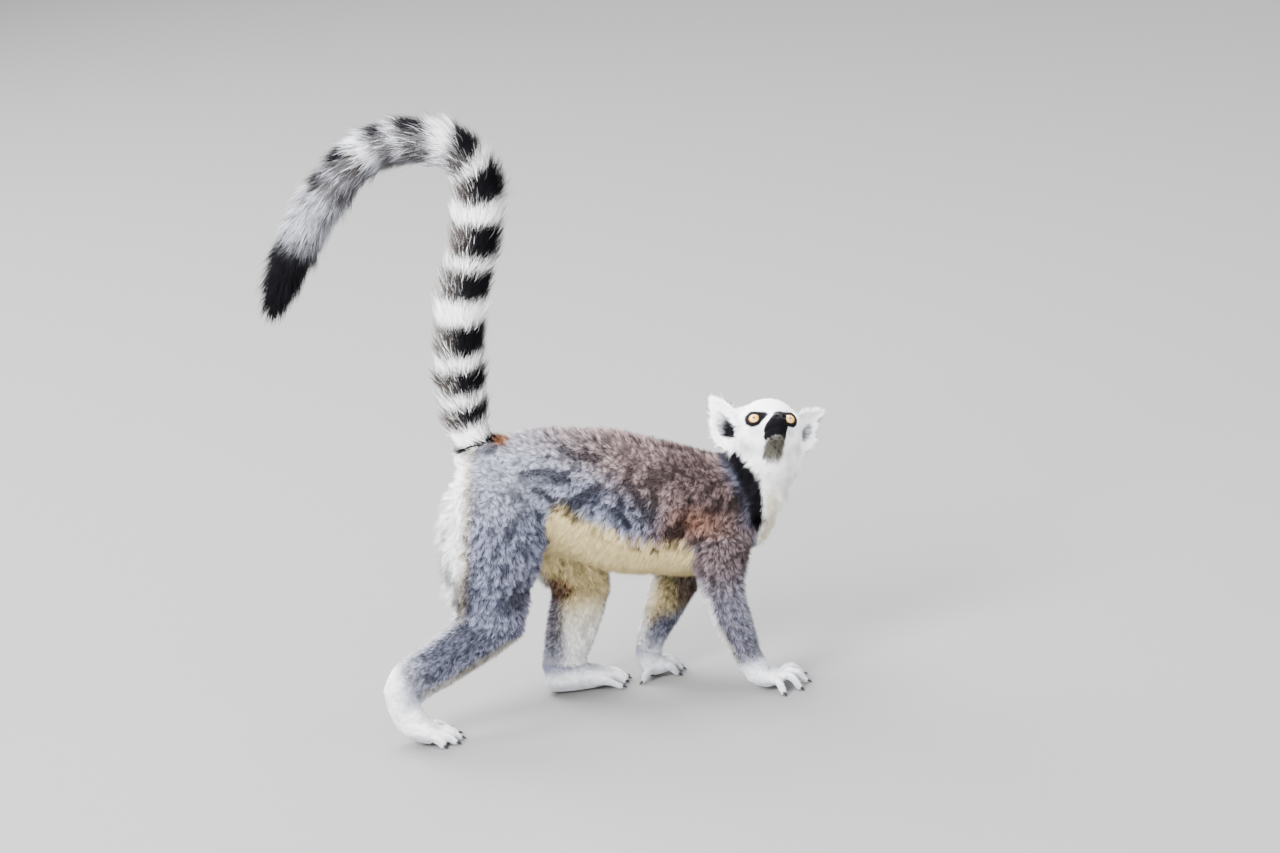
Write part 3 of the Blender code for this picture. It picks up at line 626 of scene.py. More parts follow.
@dataclass
class Markings:
    """The pattern of the coat, shared by the skin and the tufts, with some painted shade laid in.

    Each method lays hues over its parts, from the ground colour up. Its numbers are millimetres
    along the body (x), up (z), or in the head's frame and along the tail, and shares from 0 to 1.
    """

    grey: Hue = Hue((0.232, 0.246, 0.346), (0.014, 0.015, 0.022))
    brown: Hue = Hue((0.255, 0.185, 0.182), (0.016, 0.011, 0.011))
    sable: Hue = Hue((0.125, 0.086, 0.084), (0.010, 0.007, 0.007))
    rust: Hue = Hue((0.270, 0.120, 0.062), (0.040, 0.016, 0.008))
    white: Hue = Hue((0.965, 0.965, 0.970), (0.800, 0.800, 0.810))
    frost: Hue = Hue((0.600, 0.620, 0.710), (0.080, 0.083, 0.096))
    cream: Hue = Hue((0.540, 0.435, 0.220), (0.330, 0.255, 0.115))
    black: Hue = Hue((0.004, 0.004, 0.005), (0.002, 0.002, 0.003))
    charcoal: Hue = Hue((0.005, 0.005, 0.007), (0.003, 0.003, 0.004))
    slate: Hue = Hue((0.013, 0.012, 0.020), (0.006, 0.006, 0.008))
    smoke: Hue = Hue((0.260, 0.270, 0.310), (0.040, 0.041, 0.048))
    umber: Hue = Hue((0.045, 0.029, 0.022), (0.010, 0.007, 0.005))
    steel: Hue = Hue((0.070, 0.076, 0.112), (0.010, 0.010, 0.014))
    olive: Hue = Hue((0.190, 0.155, 0.078), (0.060, 0.046, 0.022))
    chin: Hue = Hue((0.078, 0.070, 0.050), (0.030, 0.027, 0.020))
    skin: Hue = Hue((0.020, 0.018, 0.019), (0.014, 0.012, 0.013))
    belly_line: tuple = (
        (-60, 170), (-34, 190), (-21, 222), (-10, 228), (5, 211), (31, 193), (53, 174), (76, 167),
        (93, 168), (104, 166), (112, 154), (120, 142), (170, 126),
    )
    # Height, front edge and width of the collar.
    collar: tuple = (
        (120, 176, 0), (150, 179, 0), (163, 184, 0), (169, 186, 9), (176, 187, 12),
        (197, 190, 13), (220, 190, 22), (235, 181, 16), (256, 170, 9), (275, 160, 9),
    )
    # Middle and half width of each dark ring, measured along the tail.
    rings: tuple = (
        (66, 8), (100, 11), (143, 14), (200, 13.5), (246, 15), (300, 13.5), (338, 10), (385, 12),
        (415, 7), (453, 10), (478, 7),
    )
    top_line: tuple = (
        (-89, 288), (-63, 293), (-27, 297), (13, 292), (57, 283), (100, 265), (137, 248),
        (171, 234),
    )
    foot_line: tuple = (
        (-98, 231), (-80, 181), (-47, 164), (-9, 151), (33, 129), (77, 120), (117, 111),
        (154, 121), (181, 137),
    )
    brown_from: tuple = (
        (-80, 1.04), (-40, 0.95), (0, 0.84), (60, 0.62), (105, 0.42), (150, 0.25),
    )
    tail_black_from: float = 548.0
    tail_stripe: tuple = ((-103, 283), (-97, 285.5), (-73, 292), (-57, 302.5), (-50, 308))

    def paint(self, places: Places, jitter: Array) -> tuple[Array, Array]:
        """Colour points by where they lie.

        Args:
            places: The points.
            jitter: Rows of three random numbers about zero, which soften each edge.

        Returns:
            Colours of the tips and of the roots.
        """
        layers = Layers(places, jitter, self.grey)
        for colour in (self._trunk, self._legs, self._arms, self._neck, self._tail,
                       self._tail_foot, self._head, self._ears):
            colour(layers)
        return layers.tip, layers.root

    def _belly(self, places: Places, jitter: Array) -> Array:
        """Return how far each point lies below the line where the belly's cream starts."""
        x, _, z = places.world.T / MM
        return step(4.0, -5.0, z - level(self.belly_line, x) + 5.0 * jitter[:, 0])

    def _trunk(self, layers: Layers) -> None:
        """Colour the back, the flanks, the belly and the rump.

        Args:
            layers: The colours so far.
        """
        lay, places, jitter = layers.add, layers.places, layers.jitter
        here = places.on("trunk")
        x, _, z = places.spread(jitter, 6.0)
        nx, _, nz = places.normal.T
        low, high = level(self.foot_line, x), level(self.top_line, x)
        height = (z - low) / (high - low)
        over = height - level(self.brown_from, x)
        lay(self.brown, here * step(-0.18, 0.18, over))
        lay(self.sable, here * 0.97 * step(75.0, 118.0, x) * step(-0.10, 0.25, over))
        pale = step(60.0, 22.0, np.hypot((x + 66.0) * 0.8, z - 262.0))
        lay(self.frost, here * 0.28 * pale)
        lay(self.sable, here * 0.22 * step(0.55, 0.15, height) * step(-15.0, 25.0, x))
        rusty = step(30.0, 6.0, np.hypot((x - 108.0) * 0.55, z - 180.0))
        lay(self.rust, here * rusty * 0.55)
        above = z - level(self.belly_line, x)
        fringe = step(15.0, 4.0, above) * step(-45.0, -20.0, x) * step(90.0, 40.0, x)
        lone = np.clip(0.5 + 1.2 * jitter[:, 2], 0.0, 1.0)
        lay(self.frost, here * fringe * 0.85 * lone)
        lay(self.rust, here * step(9.0, 1.0, above) * step(28.0, 45.0, x)
            * step(118.0, 100.0, x) * 0.8 * (1.0 - lone))
        lay(self.brown, here * 0.4 * step(0.60, 0.95, nz) * step(-60.0, 30.0, x))
        lay(self.frost, here * 0.20 * step(0.45, 0.85, height) * step(70.0, -40.0, x))
        lay(self.cream, here * self._belly(places, jitter))
        lay(self.white, here * step(-0.40, -0.72, nx) * step(-78.0, -92.0, x))
        ahead = x - level([spot[:2] for spot in self.collar], z)
        lay(self.white, here * step(0.30, 0.70, nx) * step(-3.0, 4.0, ahead))

    def _tail_foot(self, layers: Layers) -> None:
        """Colour the foot of the tail: a slanting black stripe with rust before it.

        Args:
            layers: The colours so far.
        """
        lay, places, jitter = layers.add, layers.places, layers.jitter
        x, y, z = places.spread(jitter, 2.5)
        here = places.on("trunk", "tail") * step(-42.0, -48.0, x)
        spots = np.stack([x, z - 0.306 * np.abs(y)], axis=1)
        rusty = step(11.5, 6.0, np.hypot(x + 59.0, spots[:, 1] - 291.0))
        lay(self.rust, here * rusty * step(30.0, 22.0, np.abs(y)))
        lay(self.black, here * step(4.8, 3.0, line_gap(spots, self.tail_stripe)))

    def _legs(self, layers: Layers) -> None:
        """Colour the thighs, shanks and feet.

        Args:
            layers: The colours so far.
        """
        lay, places, jitter = layers.add, layers.places, layers.jitter
        x, _, z = places.spread(jitter, 5.0)
        nx, ny, nz = places.normal.T
        soft = 0.2 * jitter[:, 1]
        for side, inner in (("right", ny), ("left", -ny)):
            inward = places.on("thigh_" + side, "shank_" + side) * step(0.05, 0.50, inner + soft)
            lay(self.cream, inward)
            lay(self.white, inward * 0.75 * step(108.0, 52.0, z))
            lay(self.frost, inward * 0.45 * step(80.0, 35.0, z))
        flesh = places.on("thigh_right") * step(0.30, -0.05, ny)
        flesh = flesh + places.on("thigh_left") * step(-0.30, 0.05, ny)
        hip = np.hypot((x + 66.0) * 0.8, z - 258.0)
        lay(self.frost, flesh * 0.30 * step(55.0, 20.0, hip))
        # Painted shade: the lower front of each outer thigh is laid darker with sable.
        lay(self.sable, flesh * 0.26 * step(205.0, 140.0, z) * step(-85.0, -60.0, x))
        rim = -100.0 + (z - 258.0) * 0.21
        band = step(11.0, -5.0, x - rim) * places.on("thigh_right", "trunk")
        band = band * step(104.0, 140.0, z) * step(-60.0, -80.0, x)
        lay(self.cream, band * 0.60)
        lay(self.white, band * step(3.0, -8.0, x - rim))
        back = step(-0.45, -0.75, nx + soft) * places.on("thigh_left")
        lay(self.white, back * 0.85)
        shank = places.on("shank")
        lay(self.cream, shank * 0.60 * step(-0.42, -0.74, nz + soft))
        lay(self.white, shank * 0.28 * step(-0.50, -0.82, nz + soft))
        upper = places.on("shank_right") * step(-0.35, -0.10, nz) * step(-0.15, -0.45, ny)
        lay(self.slate, upper * 0.55 * step(-195.0, -165.0, x))
        right = places.on("shank_right", "foot_right")
        lay(self.frost, right * 0.8 * step(0.80, 0.98, 0.62 * nz - 0.78 * nx + soft))
        heel = np.maximum(step(-166.0, -198.0, x), step(70.0, 42.0, z))
        lay(self.frost, right * 0.75 * heel)
        lay(self.smoke, right * 0.60 * step(-158.0, -176.0, x) * step(44.0, 62.0, z)
            * step(0.35, 0.75, Drift(19, 6.0).at(places.world)))
        lay(self.white, right * 0.90 * np.maximum(step(-188.0, -208.0, x), step(54.0, 30.0, z)))
        left = places.on("shank_left", "foot_left")
        rear = left * step(-22.0, -34.0, x - 0.10 * (z - 70.0)) * step(22.0, 45.0, z)
        lay(self.grey, rear * 0.90)
        lay(self.sable, rear * 0.55 * step(40.0, 70.0, z))
        outer = left * step(0.10, 0.60, ny)
        lay(self.frost, outer * 0.8 * step(62.0, 36.0, z))
        lay(self.frost, left * 0.5 * step(34.0, 20.0, z))
        lay(self.white, left * 0.8 * step(30.0, 14.0, z))
        knee = places.on("thigh_left", "shank_left") * step(0.0, 0.4, -ny)
        knee = knee * step(17.0, 9.0, np.hypot((x + 29.0) * 0.75, z - 111.0))
        lay(self.rust, knee * 0.75)
        lay(self.charcoal, knee * step(-0.10, 0.25, jitter[:, 2]) * 0.85)
        self._paws(layers, places.on("foot"), z)

    def _paws(self, layers: Layers, here: Array, z: Array) -> None:
        """Paint shade into the gaps between the digits and darken the bare soles.

        Args:
            layers: The colours so far.
            here: 1 for the points of the paws, otherwise 0.
            z: Height of the points in millimetres.
        """
        lay, places = layers.add, layers.places
        # Painted shade: the sides of the digits low down, between them, are laid with smoke.
        between = step(0.45, 0.90, np.abs(places.normal[:, 1])) * step(20.0, 9.0, z)
        lay(self.smoke, here * 0.70 * between)
        streaks = Drift(9, 3.0).at(places.world * np.array([0.35, 1.0, 1.0]))
        lay(self.smoke, here * 0.25 * step(0.45, 0.75, streaks))
        sole = step(SOLE_TILT, -0.86, places.normal[:, 2]) * step(12.0, 6.0, z)
        lay(self.skin, here * sole)

    def _arms(self, layers: Layers) -> None:
        """Colour the upper arms, forearms and hands.

        Args:
            layers: The colours so far.
        """
        lay, places, jitter = layers.add, layers.places, layers.jitter
        x, _, z = places.spread(jitter, 5.0)
        nx, ny, _ = places.normal.T
        soft = 0.2 * jitter[:, 1]
        for side, inner in (("right", ny), ("left", -ny)):
            arm = places.on("upper_arm_" + side, "forearm_" + side)
            lay(self.brown, arm * (0.15 + 0.65 * step(88.0, 150.0, z)))
            lay(self.sable, arm * (0.18 + 0.40 * step(112.0, 150.0, z)))
            inward = arm * step(0.15, 0.60, inner + soft)
            inward *= step(104.0, 84.0, x) if side == "left" else 1.0
            lay(self.cream, inward * step(48.0, 92.0, z))
            lay(self.frost, inward * 0.5 * step(70.0, 40.0, z))
        arm = places.on("forearm", "upper_arm")
        lay(self.frost, arm * 0.45 * step(0.50, 0.90, nx + soft) * step(135.0, 95.0, z))
        lay(self.cream, arm * 0.40 * step(-0.45, -0.80, nx + soft) * step(78.0, 62.0, z))
        lay(self.white, arm * 0.75 * step(-0.55, -0.90, nx + soft) * step(130.0, 100.0, z))
        # The far arm's inner side, under the body, is laid olive, umber, sable and slate: partly
        # its own colour, partly painted shade.
        far = places.on("forearm_left", "upper_arm_left") * step(0.35, -0.10, ny)
        lay(self.cream, far * 0.6 * step(78.0, 64.0, x) * step(52.0, 80.0, z))
        lay(self.olive, far * 0.92 * step(70.0, 82.0, x) * step(55.0, 85.0, z)
            * step(0.1, 0.5, -ny))
        lay(self.umber, far * 0.80 * step(83.0, 97.0, x) * step(62.0, 84.0, z))
        lay(self.sable, far * 0.45 * step(88.0, 100.0, x) * step(30.0, 50.0, z))
        lay(self.grey, far * 0.92 * step(74.0, 58.0, z) * step(58.0, 72.0, x))
        lay(self.slate, far * 0.45 * step(80.0, 62.0, z) * step(62.0, 78.0, x)
            * step(36.0, 50.0, z))
        wrist = places.on("forearm", "hand")
        fade = step(48.0, 24.0, z - 0.25 * np.where(places.on("forearm_left"), 0.0, x - 150.0))
        lay(self.frost, wrist * 0.9 * fade)
        lay(self.white, wrist * 0.65 * step(36.0, 18.0, z))
        # Painted shade: the far hand is laid greyer than the near one.
        lay(self.smoke, places.on("hand_left") * 0.45)
        self._paws(layers, places.on("hand"), z)

    def _neck(self, layers: Layers) -> None:
        """Colour the throat, the dark collar behind it and the nape.

        Args:
            layers: The colours so far.
        """
        lay, places, jitter = layers.add, layers.places, layers.jitter
        x, _, z = places.spread(jitter, 2.2)
        here = places.on("neck", "trunk", "upper_arm")
        highs, fronts, widths = zip(*self.collar)
        ahead = x - np.interp(z, highs, fronts)
        width = np.interp(z, highs, widths)
        fore = here * step(130.0, 145.0, x) * step(118.0, 135.0, z)
        lay(self.white, fore * step(-1.5, 2.5, ahead))
        lay(self.cream, fore * 0.60 * step(0.0, 6.0, ahead) * step(26.0, 12.0, ahead)
            * step(225.0, 195.0, z))
        lay(self.cream, fore * 0.50 * step(0.0, 5.0, ahead) * step(165.0, 145.0, z))
        band = edge(-ahead - width, 3.0) * step(1.5, -1.5, ahead)
        behind = step(-width - 17.0, -width - 3.0, ahead) * step(0.5, -0.5, ahead)
        lay(self.steel, fore * 0.80 * behind * step(4.0, 10.0, width))
        lay(self.charcoal, fore * band * step(0.0, 4.0, width))
        lay(self.black, fore * band * step(5.0, 12.0, width) * 0.6)
        nape = places.on("neck") * step(0.30, 0.65, places.normal[:, 2] - places.normal[:, 0])
        lay(self.charcoal, nape * step(225.0, 236.0, z) * 0.85)

    def _tail(self, layers: Layers) -> None:
        """Colour the tail's rings, its greyer under side and its black tip.

        Args:
            layers: The colours so far.
        """
        lay, places, jitter = layers.add, layers.places, layers.jitter
        here = places.on("tail")
        outer = places.tail_outer + 0.20 * jitter[:, 1]
        at = places.tail_at + 2.4 * jitter[:, 0]
        lay(self.white, here)
        far = step(300.0, 400.0, at)
        lay(self.frost, here * 0.70 * far)
        lay(self.smoke, here * 0.72 * step(430.0, 500.0, at))
        lay(self.smoke, here * 0.85 * step(0.30, -0.65, outer) * far)
        streak = Drift(17, 5.0).at(places.world + places.normal * 0.002)
        lone = np.clip(0.5 + 0.9 * jitter[:, 2], 0.0, 1.0)
        lay(self.umber, here * far * step(0.46, 0.66, streak) * step(0.42, 0.62, lone))
        dark = np.zeros(len(at))
        haze = np.zeros(len(at))
        for middle, half in self.rings:
            near = np.abs(at - middle - 3.0 * outer)
            profile = edge(near - half, 3.0 + 3.0 * step(300.0, 400.0, middle))
            reach = np.interp(middle, (60, 300, 340, 385, 480), (-0.20, -0.15, 0.30, 0.62, 0.74))
            dark = np.maximum(dark, profile * step(reach - 0.22, reach + 0.16, outer))
            faded = edge(near - half - 3.0, 7.0)
            haze = np.maximum(haze, faded * np.interp(middle, (300, 400), (0.95, 0.70)))
        mottle = step(-0.90, -0.45, jitter[:, 2] + 0.5 * np.minimum(outer + 0.75, 0.0))
        lay(self.umber, here * haze * mottle)
        lay(self.charcoal, here * haze * 0.80 * step(-1.00, -0.42, outer) * mottle)
        lay(self.black, here * dark)
        tip = step(self.tail_black_from - 16.0, self.tail_black_from + 14.0, at)
        lay(self.black, here * tip)

    def _head(self, layers: Layers) -> None:
        """Colour the face, the eye patches, the muzzle, the chin and the crown.

        Args:
            layers: The colours so far.
        """
        lay, places, jitter = layers.add, layers.places, layers.jitter
        here = places.on("head")
        ahead, side, up = (places.head + 0.7 * jitter).T
        off = np.abs(side)
        lay(self.white, here)
        crown = step(-16.0, -34.0, ahead - 0.35 * (up - 10.0)) * step(-16.0, 6.0, up)
        lay(self.frost, here * 0.80 * crown)
        lay(self.smoke, here * 0.35 * crown * step(-30.0, -44.0, ahead))
        # Painted shade below each eye, laid with smoke.
        shade = step(8.5, 3.0, np.hypot((off - EYE_OUT) * 0.8, up + 14.0))
        lay(self.smoke, here * 0.45 * shade * step(-16.0, -8.0, ahead))
        gap = outline_gap(np.stack([off, up], axis=1), EYE_PATCH)
        patch = edge(gap, 1.1) * step(-16.0, -11.0, ahead)
        lay(self.slate, here * patch)
        eye = step(10.5, 8.2, np.hypot(off - EYE_OUT, up)) * step(-16.0, -11.0, ahead)
        lay(self.black, here * eye * patch)
        start = level(MUZZLE_EDGE, up)
        bridge = 23.0 + 0.36 * off ** 2 - 0.3 * (up + 8.0)
        start = np.where(up > -12.5, np.minimum(start, bridge), start)
        muzzle = step(-1.2, 1.2, ahead - start) * step(-29.8, -28.0, up + 0.6 * jitter[:, 2])
        lay(self.charcoal, here * muzzle)
        lay(self.black, here * muzzle * step(0.0, 5.0, ahead - start) * 0.6)
        throat = places.on("head", "neck")
        wide = np.interp(up, (-62.0, -50.0, -40.0, -28.0), (4.0, 8.5, 10.5, 10.2))
        middle = np.interp(up, (-62.0, -30.0), (-3.5, 0.8))
        chin = step(wide + 3.0, wide - 3.5, np.abs(side - middle)) * step(-20.0, -11.0, ahead)
        chin = chin * step(-25.0, -27.5, up) * step(-57.0, -39.0, up)
        marks = Drift(5, 2.4).at(places.world * np.array([1.0, 1.0, 0.55]))
        chin = step(0.15, 0.70, chin * (1.0 - here * muzzle) + 0.28 * jitter[:, 2])
        lay(self.chin, throat * chin * (0.97 - 0.30 * step(-40.0, -50.0, up)))
        lay(self.charcoal, throat * chin * 0.75 * step(0.58, 0.74, marks) * step(-48.0, -38.0, up))

    def _ears(self, layers: Layers) -> None:
        """Colour the ears white with a dark hollow that pale strands cross.

        Args:
            layers: The colours so far.
        """
        lay, places, jitter = layers.add, layers.places, layers.jitter
        here = places.on("ear")
        _, side, up = (places.head + 0.8 * jitter).T
        inner = step(0.05, 0.35, dots(places.normal, HEAD.forward))
        lay(self.white, here)
        spots = np.stack([np.abs(side), up], axis=1)
        strands = Drift(13, 1.6).at(places.head * MM * np.array([0.4, 0.35, 1.3]))
        for way, outline, core in ((-1.0, EAR_HOLLOW_RIGHT, 41.5), (1.0, EAR_HOLLOW_LEFT, 40.0)):
            mine = here * inner * (side * way > 0.0)
            hollow = edge(outline_gap(spots, outline), 2.2)
            deep = step(core + 7.0, core, spots[:, 0] + 0.45 * np.maximum(up - 5.0, 0.0))
            lay(self.smoke, mine * hollow * (0.55 + 0.45 * step(0.35, 0.60, strands)))
            crossing = step(0.45, 0.70, strands) * step(core - 3.0, core + 3.0, spots[:, 0])
            strength = 1.0 if way < 0.0 else 0.80
            lay(self.black, mine * hollow * deep * (1.0 - 0.75 * crossing) * strength)


@dataclass
class Ground:
    """A surface that hair grows on, with the style and lie of the hair at each vertex."""

    points: Array | None = None
    triangles: Array | None = None
    normals: Array | None = None
    node: Array | None = None
    lie: Array | None = None
    style: Array | None = None
    growth: Array | None = None


@dataclass
class Skin(Ground):
    """The one skin under the coat, and the fields that the coat is grown from."""

    name: str = "skin"
    voxel: float = 0.0015
    overlap: float = 0.00035
    body_rounds: int = 22
    fine_rounds: int = 4
    field_rounds: int = 30
    draw_paces: int = 4
    shown_share: float = 0.3
    root_shade: float = 0.13
    tip_shade: float = 0.85
    bare_sole: float = 12.0
    bare_pad: float = 1.6
    bare_nose: float = 37.5
    bare_eye: float = 8.5
    mouth_depth: float = 0.9
    markings: Markings = field(default_factory=Markings)
    item: bpy.types.Object = field(init=False, default=None)
    edges: Array = field(init=False, default=None)

    def build(self) -> None:
        """Join the solids of flesh, smooth them, draw them in by the coat's depth."""
        self._join_solids()
        self._read_mesh()
        self.node = self._nearest_node()
        self._smooth_form()
        outline = self.points.copy()
        self._lay_fields(outline)
        self._draw_in()
        self._carve_face()
        move_points(self.item.data, self.points)
        self.normals = self._vertex_normals()
        self.growth = self._growth()

    def _growth(self) -> Array:
        """Return where hair grows: not on soles, on the nose or within the lids.

        Returns:
            1 or 0 for each vertex.
        """
        growth = np.ones(len(self.points))
        on_paw = on_parts(self.node, "hand", "foot")
        high = self.points[:, 2] / MM
        growth[on_paw & (self.normals[:, 2] < SOLE_TILT) & (high < self.bare_sole)] = 0.0
        growth[on_paw & (high < self.bare_pad)] = 0.0
        head = HEAD.inside(self.points)
        growth[on_parts(self.node, "head") & (head[:, 0] > self.bare_nose)] = 0.0
        for way in (-1.0, 1.0):
            gap = np.linalg.norm(head - on_side(EYE_SPOT, way), axis=1)
            growth[gap < self.bare_eye] = 0.0
        return growth

    def _join_solids(self) -> None:
        """Make one closed mesh from merged copies of the solids of flesh."""
        copies = []
        for name in FLESH:
            shape = bmesh.new()
            shape.from_mesh(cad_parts[name].data)
            bmesh.ops.remove_doubles(shape, verts=shape.verts, dist=1e-6)
            mesh = bpy.data.meshes.new(name + "_copy")
            shape.to_mesh(mesh)
            shape.free()
            copy = link_mesh(name + "_copy", mesh)
            grow = copy.modifiers.new("Close the cuts", "DISPLACE")
            grow.strength = self.overlap
            grow.mid_level = 0.0
            apply_modifiers(copy)
            copies.append(copy)
        select_only(*copies)
        bpy.ops.object.join()
        self.item = bpy.context.view_layer.objects.active
        self.item.name = self.item.data.name = self.name
        remesh = self.item.modifiers.new("One skin", "REMESH")
        remesh.mode = "VOXEL"
        remesh.voxel_size = self.voxel
        apply_modifiers(self.item)
        self._drop_islands()
        self.item.data.materials.clear()

    def _drop_islands(self) -> None:
        """Keep only the largest connected piece of the skin."""
        shape = bmesh.new()
        shape.from_mesh(self.item.data)
        unseen = set(shape.verts)
        islands = []
        while unseen:
            island = [unseen.pop()]
            for vertex in island:
                for link in vertex.link_edges:
                    other = link.other_vert(vertex)
                    if other in unseen:
                        unseen.discard(other)
                        island.append(other)
            islands.append(island)
        islands.sort(key=len)
        for island in islands[:-1]:
            bmesh.ops.delete(shape, geom=island, context="VERTS")
        bmesh.ops.triangulate(shape, faces=shape.faces)
        shape.to_mesh(self.item.data)
        shape.free()

    def _read_mesh(self) -> None:
        """Read the mesh into arrays."""
        mesh = self.item.data
        self.points = points_of(mesh)
        edges = np.empty(len(mesh.edges) * 2, dtype=np.int32)
        mesh.edges.foreach_get("vertices", edges)
        self.edges = edges.reshape(-1, 2)
        self.triangles = corners_of(mesh).reshape(-1, 3)

    def _nearest_node(self) -> Array:
        """Return the number of the solid that each point of the skin belongs to.

        Returns:
            A number for each vertex.
        """
        corners, faces, owner = [], [], []
        for number, name in enumerate(FLESH):
            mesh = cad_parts[name].data
            start = len(corners)
            corners.extend(vertex.co.copy() for vertex in mesh.vertices)
            faces.extend(tuple(start + index for index in face.vertices)
                         for face in mesh.polygons)
            owner.extend([number] * len(mesh.polygons))
        tree = BVHTree.FromPolygons(corners, faces)
        return np.array([owner[tree.find_nearest(Vector(point))[2]] for point in self.points])

    def relax(self, values: Array, share: Array | float, rounds: int) -> Array:
        """Even out values over the skin.

        Args:
            values: Rows, one for each vertex.
            share: How far each vertex moves to the mean of its neighbours in a round.
            rounds: Number of rounds.

        Returns:
            The evened rows.
        """
        first, second = self.edges.T
        count = len(values)
        degree = np.bincount(first, minlength=count) + np.bincount(second, minlength=count)
        part = np.broadcast_to(np.asarray(share, dtype=float), (count,))[:, None]
        values = values.astype(float)
        for _ in range(rounds):
            mean = np.stack([
                np.bincount(first, weights=column[second], minlength=count)
                + np.bincount(second, weights=column[first], minlength=count)
                for column in values.T], axis=1) / degree[:, None]
            values = values + part * (mean - values)
        return values

    def _vertex_normals(self) -> Array:
        """Return the outward normal at each vertex.

        Returns:
            Rows of length one.
        """
        a, b, c = (self.points[self.triangles[:, corner]] for corner in range(3))
        faces = np.cross(b - a, c - a)
        count = len(self.points)
        total = np.stack([sum(np.bincount(self.triangles[:, corner], weights=column,
                                          minlength=count) for corner in range(3))
                          for column in faces.T], axis=1)
        return unit(total)

    def _smooth_form(self) -> None:
        """Take the facets out of the body, with a lighter hand on head, ears, hands, feet."""
        fine = on_parts(self.node, "hand", "foot", "ear", "head").astype(float)[:, None]
        fine = self.relax(fine, 0.5, 6)[:, 0]
        self.points = self.relax(self.points, 0.5, self.fine_rounds)
        self.points = self.relax(self.points, 0.55 * (1.0 - fine), self.body_rounds)

    def _head_style(self, rows: Array) -> Array:
        """Blend the styles of face, muzzle, cheeks and crown over the head.

        Args:
            rows: Forward, left, up of each vertex in the head's frame, in millimetres.

        Returns:
            One row of style numbers for each vertex.
        """
        ahead, side, up = rows.T
        table = np.tile(CROWN_STYLE.row(), (len(rows), 1)).astype(float)
        cheek = step(-4.0, -20.0, up) * step(2.0, -10.0, ahead)
        cheek = np.maximum(cheek, step(13.0, 22.0, np.abs(side)) * step(2.0, -8.0, up)
                           * step(-4.0, -14.0, ahead))
        table = blend(table, CHEEK_STYLE.row(), cheek)
        face = step(-16.0, -7.0, ahead) * step(-34.0, -24.0, up)
        face = np.maximum(face, step(14.0, 9.5, np.hypot(np.abs(side) - EYE_OUT, up))
                          * step(-16.0, -10.0, ahead))
        table = blend(table, FACE_STYLE.row(), face)
        table = blend(table, MUZZLE_STYLE.row(), step(6.0, 15.0, ahead))
        spots = np.stack([ahead, np.abs(side), up], axis=1)
        lids = np.linalg.norm(spots - EYE_SPOT, axis=1)
        table[:, DEPTH] *= 1.0 - 0.9 * step(13.0, 10.5, lids)
        return table

    def _lay_fields(self, outline: Array) -> None:
        """Set the coat's style and lie at each vertex, flowing from part to part.

        Args:
            outline: Places on the outline of the coat.
        """
        normals = self._vertex_normals()
        rows = HEAD.inside(outline)
        index = TAIL.nearest(outline)
        self.style = self._styles(outline, normals, rows, index)
        self.lie = self._ways(outline, normals, rows, index)

    def _styles(self, outline: Array, normals: Array, rows: Array, index: Array) -> Array:
        """Return the coat's style at each vertex.

        Args:
            outline: Places on the outline of the coat.
            normals: Normals of the outline.
            rows: The same places in the head's frame.
            index: Nearest point of the tail's middle line.

        Returns:
            One row of style numbers for each vertex.
        """
        table = np.array([value_for(NODE_STYLES, name).row() for name in FLESH])[self.node]
        on_head, on_tail, on_trunk = (on_parts(self.node, part)
                                      for part in ("head", "tail", "trunk"))
        table[on_head] = self._head_style(rows[on_head])
        x, _, z = outline.T / MM
        above = z - level(self.markings.belly_line, x)
        table = blend(table, BELLY_STYLE.row(), step(6.0, -8.0, above) * on_trunk)
        skirt = np.exp(-((above - 7.0) / 7.5) ** 2) * step(0.20, 0.55, np.abs(normals[:, 1]))
        table = blend(table, SKIRT_STYLE.row(), skirt * on_trunk * step(-25.0, -5.0, x))
        rear = step(-0.50, -0.80, normals[:, 0]) * on_parts(self.node, "thigh")
        table = blend(table, FRINGE_STYLE.row(), rear)
        table = self.relax(table, 0.5, self.field_rounds)
        edge_on = step(0.60, 0.15, np.abs(dots(normals, HEAD.forward)))
        table[:, LENGTH] += 3.6 * edge_on * on_parts(self.node, "ear")
        near_tail = self.relax(on_tail.astype(float)[:, None], 0.5, self.field_rounds)[:, 0]
        thin = 0.50 * np.linalg.norm(outline - TAIL.points[index], axis=1) / MM
        table[:, DEPTH] = table[:, DEPTH] * (1.0 - near_tail) + np.minimum(thin, 14.5) * near_tail
        return table

    def _ways(self, outline: Array, normals: Array, rows: Array, index: Array) -> Array:
        """Return the way the hair lies at each vertex.

        Args:
            outline: Places on the outline of the coat.
            normals: Normals of the outline.
            rows: The same places in the head's frame.
            index: Nearest point of the tail's middle line.

        Returns:
            Directions along the surface, of length one.
        """
        ways = np.zeros_like(outline)
        for number, name in enumerate(FLESH):
            here = self.node == number
            if name.startswith("tail"):
                ways[here] = TAIL.ways[index[here]]
            elif name == "head":
                ways[here] = self._head_lie(rows[here])
            elif name.startswith("ear"):
                ways[here] = self._ear_lie(rows[here], -1.0 if name.endswith("right") else 1.0)
            else:
                ways[here] = value_for(NODE_LIE, name)
        side_on = step(0.25, 0.85, np.abs(normals[:, 1]))
        droop = side_on * (0.35 + 0.85 * step(250.0, 175.0, outline[:, 2] / MM))
        ways[:, 2] -= droop * on_parts(self.node, "trunk")
        ways = self.relax(along_surface(unit(ways), normals), 0.6, 14)
        return unit(along_surface(ways, normals))

